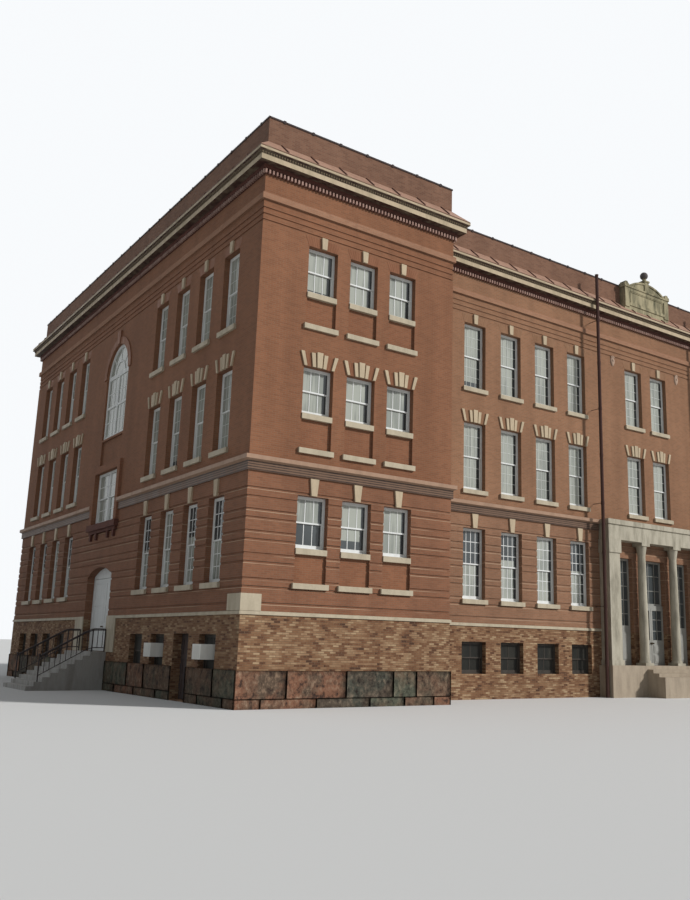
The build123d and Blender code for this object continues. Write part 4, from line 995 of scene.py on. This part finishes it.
for place in (facades["left"], facades["right"]):
    for side in (-1, 1):
        add_window(stair_bm, place, half_length + 0.060, side * 0.333, 0.63, pair_sill, pair_head, 2, 2,
                   (0, 1.0))
    for left, right, near in ((-0.675, -0.648, 0.0), (0.648, 0.675, 0.0), (-0.018, 0.018, -0.004)):
        add_member(place, left, right, pair_sill, pair_head, near, 0.06)
    for left, right in ((-0.65, -0.585), (0.585, 0.65), (-0.030, 0.030)):
        add_member(place, left, right, arch_sill, spring, 0.0, 0.06)
    for bottom, top in ((arch_sill, arch_sill + 0.06), (5.80, 5.85), (spring - 0.045, spring + 0.045)):
        add_member(place, -0.585, 0.585, bottom, top, 0.004, 0.056)
    for light in (-0.312, 0.312):
        for middle in (light - 0.10, light + 0.10):
            add_member(place, middle - 0.008, middle + 0.008, arch_sill + 0.05, spring - 0.03, 0.012, 0.030)
        for level in (5.50, 6.14):
            add_member(place, light - 0.28, light + 0.28, level - 0.008, level + 0.008, 0.014, 0.028)
    add_member(place, -0.62, 0.62, arch_sill + 0.02, spring, 0.018, 0.022, curtain_finish)
    for inner, outer, near, far, finish in (
        (0.585, 0.65, 0.0, 0.06, 0), (0.275, 0.31, 0.006, 0.05, 0),
        (0.002, 0.60, 0.018, 0.022, curtain_finish),
    ):
        add_half_ring(stair_bm, place, spring, inner, outer, stair_front + near, stair_front + far, finish)
    for index in range(1, 4):
        spoke = Matrix.Translation((0, 0, spring)) @ Matrix.Rotation(-math.pi * index / 4, 4, "Y")
        add_block(stair_bm, place @ spoke, (0.30, stair_front + 0.010, -0.012),
                  (0.60, stair_front + 0.036, 0.012))
stair_sashes = make_piece("stair_sashes", stair_bm, [white_paint, pane_glass, blind_cloth])
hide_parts("stair_windows")


# Arch and surround of the stair windows
# The tall window has a ring of tapered bricks round its head with a keystone of three bricks. The
# paired window stands in a raised brick frame over a shelf on small brackets, dark as painted shade.
surround_bm = bmesh.new()
ring_bricks, ring_inner, ring_outer, half_joint = 36, 0.65, 0.80, 0.0015
ring_step = math.pi / ring_bricks
foot, crown = (radius * math.tan(ring_step / 2) - half_joint for radius in (ring_inner, ring_outer))
set_back = half_length - 0.005
for place in (facades["left"], facades["right"]):
    for index in range(ring_bricks):
        spoke = Matrix.Rotation(math.pi / 2 - ring_step * (index + 0.5), 4, "Y")
        add_wedge(surround_bm, place @ Matrix.Translation((0, 0, spring)) @ spoke, (-foot, foot),
                  (-crown, crown), ring_inner + 0.001, ring_outer, set_back, half_length + 0.025, 1)
    for low, high in ((-0.078, -0.027), (-0.025, 0.025), (0.027, 0.078)):
        add_wedge(surround_bm, place, (low * 0.9, high * 0.9), (low * 1.15, high * 1.15),
                  spring + 0.66, spring + 0.95, set_back, half_length + 0.045, 1)
    # Finish 2, the dark brick of the shelf and brackets, is painted shade.
    for left, right, bottom, top, out, finish in (
        (-0.825, -0.676, pair_sill, 4.376, 0.06, 0), (0.676, 0.825, pair_sill, 4.376, 0.06, 0),
        (-0.825, 0.825, 4.376, 4.525, 0.06, 0), (-0.86, 0.86, 3.16, pair_sill, 0.09, 2),
        (-0.80, 0.80, 3.10, 3.16, 0.05, 2),
    ):
        add_block(surround_bm, place, (left, -half_length - out, bottom), (right, -set_back, top), finish)
    for middle in (-0.70, -0.35, 0.35, 0.70):
        add_wedge(surround_bm, place, (middle - 0.03, middle + 0.03), (middle - 0.05, middle + 0.05),
                  2.96, 3.10, set_back, half_length + 0.05, 2)
stair_surrounds = make_piece(
    "stair_surrounds", surround_bm, [face_brick, arch_brick, painted_shade_brick])
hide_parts("stair_window_surrounds")


# Coping joints
# The metal coping lies in lengths of about half a metre, and a folded cap covers each joint. Behind
# the tablet there are none.
joint_bm = bmesh.new()
for run in wall_runs:
    facade, face = run[:2]
    for middle in middles_along(run, -0.03, 0.56):
        if abs(middle) >= 0.9 or facade != "street" or face != centre_depth:
            add_block(joint_bm, facades[facade], (middle - 0.022, -face + 0.008, 9.385),
                      (middle + 0.022, -face + 0.207, 9.436))
make_piece("coping_joints", joint_bm, [dark_metal])


# Front doors and screens
# A pair of glazed timber doors with a tall transom light over them. Between the columns and the
# piers stand timber screens with a panel below and small panes above.
entry_paint = weathered_material(
    "entry_paint", (0.27, 0.265, 0.24), (0.16, 0.15, 0.13), 0.6, 40.0, 0.001, 0.2)
entry_bm = bmesh.new()
street, entry_face = facades["street"], -centre_depth + 0.100
sill_level, door_half, door_head, light_head = 0.65, 0.43, 1.90, 2.95
screen_centre, screen_half = (0.55 + 1.775 - 0.345) / 2, 0.28


def add_board(left, right, bottom, top, out, depth):
    """Board or raised panel that stands out of the doors' face and reaches behind it."""
    add_block(entry_bm, street, (left, entry_face - out, bottom), (right, entry_face + depth, top))


def add_light(left, right, bottom, top, columns, rows, border, front):
    """Glazed field with a frame, bars and a pane."""
    add_frame(entry_bm, street, left, right, bottom, top, front, front + 0.05, border, border)
    for middle in divisions(left, right, columns):
        add_block(entry_bm, street, (middle - 0.007, front + 0.01, bottom + border),
                  (middle + 0.007, front + 0.03, top - border))
    for middle in divisions(bottom, top, rows):
        add_block(entry_bm, street, (left + border, front + 0.012, middle - 0.007),
                  (right - border, front + 0.028, middle + 0.007))
    add_block(entry_bm, street, (left + border / 2, front + 0.02, bottom + border / 2),
              (right - border / 2, front + 0.024, top - border / 2), 1)


for side in (-1, 1):
    left, right = span(side, 0.003, door_half)
    add_light(left, right, 1.15, door_head, 2, 3, 0.05, entry_face)
    add_board(left, right, sill_level, 1.15, 0.0, 0.03)
    for bottom, top in ((0.70, 0.88), (0.92, 1.10)):
        add_board(left + 0.06, right - 0.06, bottom, top, 0.010, 0.005)
        add_board(left + 0.09, right - 0.09, bottom + 0.03, top - 0.03, 0.016, -0.008)
    left, right = side * screen_centre - screen_half, side * screen_centre + screen_half
    add_light(left, right, 1.45, light_head, 3, 5, 0.045, entry_face)
    add_board(left, right, sill_level, 1.45, 0.0, 0.04)
    add_board(left + 0.06, right - 0.06, 0.74, 1.36, 0.012, 0.005)
    add_board(left + 0.10, right - 0.10, 0.78, 1.32, 0.020, -0.010)
add_light(-door_half, door_half, 1.96, light_head, 4, 3, 0.045, entry_face + 0.03)
add_board(-door_half, door_half, door_head, 1.96, 0.0, 0.125)
entry_joinery = make_piece("entry_joinery", entry_bm, [entry_paint, pane_glass])
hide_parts("front_entry_joinery")


# Door furniture
# Round knobs on turned roses, of dark brass. Those on the doors that open move with their leaves, and
# the others are on the right side's doors and the front doors.
brass = weathered_material("dark_brass", (0.10, 0.07, 0.035), (0.05, 0.04, 0.03), 0.4, 60.0, 0.0005, 0.2)
brass.node_tree.nodes["Principled BSDF"].inputs["Metallic"].default_value = 0.8
door_face = -half_length + 0.150


def add_knob(bm, place, across, out, level):
    """Rose, neck and ball of one knob; out is the door's face."""
    turned = place @ Matrix.Translation((across, out, level)) @ Matrix.Rotation(math.pi / 2, 4, "X")
    add_cone(bm, turned, 0.020, 0.018, 0.0, 0.006, 20)
    add_cone(bm, turned, 0.008, 0.008, 0.006, 0.022, 20)
    add_ball(bm, turned @ Matrix.Translation((0, 0, 0.034)), 0.017, 18, 10)


for body, across, level in (("front leaf of side door", 0.045, 1.20), ("basement door leaf", 4.585, 0.50)):
    knob_bm = bmesh.new()
    add_knob(knob_bm, facades["left"], across, door_face, level)
    make_piece("knob_" + body.replace(" ", "_"), knob_bm, [brass], body)
knob_bm = bmesh.new()
add_knob(knob_bm, facades["right"], -0.045, door_face, 1.20)
for across in (-0.03, 0.03):
    add_knob(knob_bm, street, across, entry_face, 1.13)
make_piece("fixed_door_knobs", knob_bm, [brass])


# Window air conditioners
# Two window units in enamelled steel cases, with a ribbed grille on the outer face and louvres in
# the sides.
appliance = weathered_material(
    "appliance_white", (0.72, 0.71, 0.66), (0.4, 0.38, 0.34), 0.4, 40.0, 0.001, 0.2)
dress(appliance, "air_conditioners")
conditioner_bm = bmesh.new()
left_side, case_face, case_half = facades["left"], -half_length - 0.17, 0.15
for centre in (side_centres[4], side_centres[6]):
    low, high = centre - case_half, centre + case_half
    case = add_block(conditioner_bm, left_side, (low, case_face, 0.675), (high, -half_length + 0.100, 0.905))
    round_edges(conditioner_bm, case, 0.006, 2)
    for index in range(14):
        level = 0.695 + index * 0.0135
        add_block(conditioner_bm, left_side, (low + 0.02, case_face - 0.004, level),
                  (high - 0.02, case_face + 0.004, level + 0.005))
    for side_face in (low, high):
        for index in range(6):
            start = case_face + 0.03 + index * 0.02
            add_block(conditioner_bm, left_side, (side_face - 0.003, start, 0.74),
                      (side_face + 0.003, start + 0.008, 0.85))
conditioners = make_piece("conditioner_cases", conditioner_bm, [appliance])
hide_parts("air_conditioners")


# Stoop rails
# Wrought-iron rails with round balusters. The handrail is level at the door, bends over in an easy
# curve and runs down beside the steps to a newel with a ball.
threshold, riser, going, landing, bend = 0.715, 0.715 / 9, 0.140, 0.300, 0.20
rail_across, rail_start, baluster_pitch, rail_points = 0.82 - 0.025 - 0.011, 0.031, 0.0475, 26
newels = (0, 5, rail_points - 1)


def add_bar(bm, place, start, end, radius, segments=8):
    """Round bar between two points."""
    axis = Vector(end) - Vector(start)
    turn_to = axis.to_track_quat("Z", "Y").to_matrix().to_4x4()
    add_cone(bm, place @ Matrix.Translation(start) @ turn_to, radius, radius, 0.0, axis.length, segments)


def rail_level(run):
    """Height of the nosing line under the handrail, eased at the bend."""
    past = max(0.0, run - landing + 0.10)
    drop = past * past / (2 * bend) if past < bend else past - bend / 2
    return threshold - drop * riser / going


rail_bm = bmesh.new()
runs = [rail_start + index * baluster_pitch for index in range(rail_points)]
for place in (facades["left"], facades["right"]):
    for across in (-rail_across, rail_across):
        for low, high in zip(runs, runs[1:]):
            for lift, radius in ((0.424, 0.013), (0.40, 0.007), (0.075, 0.008)):
                add_bar(rail_bm, place, (across, -half_length - low, rail_level(low) + lift),
                        (across, -half_length - high, rail_level(high) + lift), radius)
        for index, run in enumerate(runs):
            newel = index in newels
            steps_down = math.ceil(max(0.0, run - 0.011 - landing) / going)
            foot = threshold - steps_down * riser if newel else rail_level(run) + 0.07
            if newel or index % 2:
                add_bar(rail_bm, place, (across, -half_length - run, foot),
                        (across, -half_length - run, rail_level(run) + 0.42), 0.013 if newel else 0.007)
        ball_place = (across, -half_length - runs[-1], rail_level(runs[-1]) + 0.452)
        add_ball(rail_bm, place @ Matrix.Translation(ball_place), 0.022, 14, 8)
stoop_rails = make_piece("stoop_rails", rail_bm, [dark_metal])
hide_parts("stoop_railings")


# Rainwater pipes
# Each iron pipe is put together of lengths with a socket collar at each joint, stands clear of the
# cornice, and is held off the wall by slim stays.
pipe_paint = weathered_material(
    "pipe_paint", (0.050, 0.021, 0.016), (0.030, 0.016, 0.013), 0.5, 50.0, 0.001, 0.3)
pipe_bm = bmesh.new()
pipe_top, pipe_out = 9.29, -centre_depth - 0.262
stay_levels = (1.85, 4.05, 6.15, 8.2)
for across in (-1.925, 1.925):
    add_bar(pipe_bm, here, (across, pipe_out, 0.0), (across, pipe_out, pipe_top), 0.036, 24)
    for level in (0.10, 0.72, 2.995, 5.095, 7.195, *stay_levels):
        collar = ((across, pipe_out, level - 0.035), (across, pipe_out, level + 0.035))
        add_bar(pipe_bm, here, *collar, 0.040, 24)
    mouth = Matrix.Translation((across, pipe_out, pipe_top))
    add_cone(pipe_bm, mouth, 0.033, 0.043, -0.045, 0.005, 24)
    for level in stay_levels:
        add_bar(pipe_bm, here, (across, pipe_out, level), (across, -centre_depth + 0.01, level), 0.007, 10)
rain_pipes = make_piece("rain_pipes", pipe_bm, [pipe_paint])
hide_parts("rainwater_pipes")
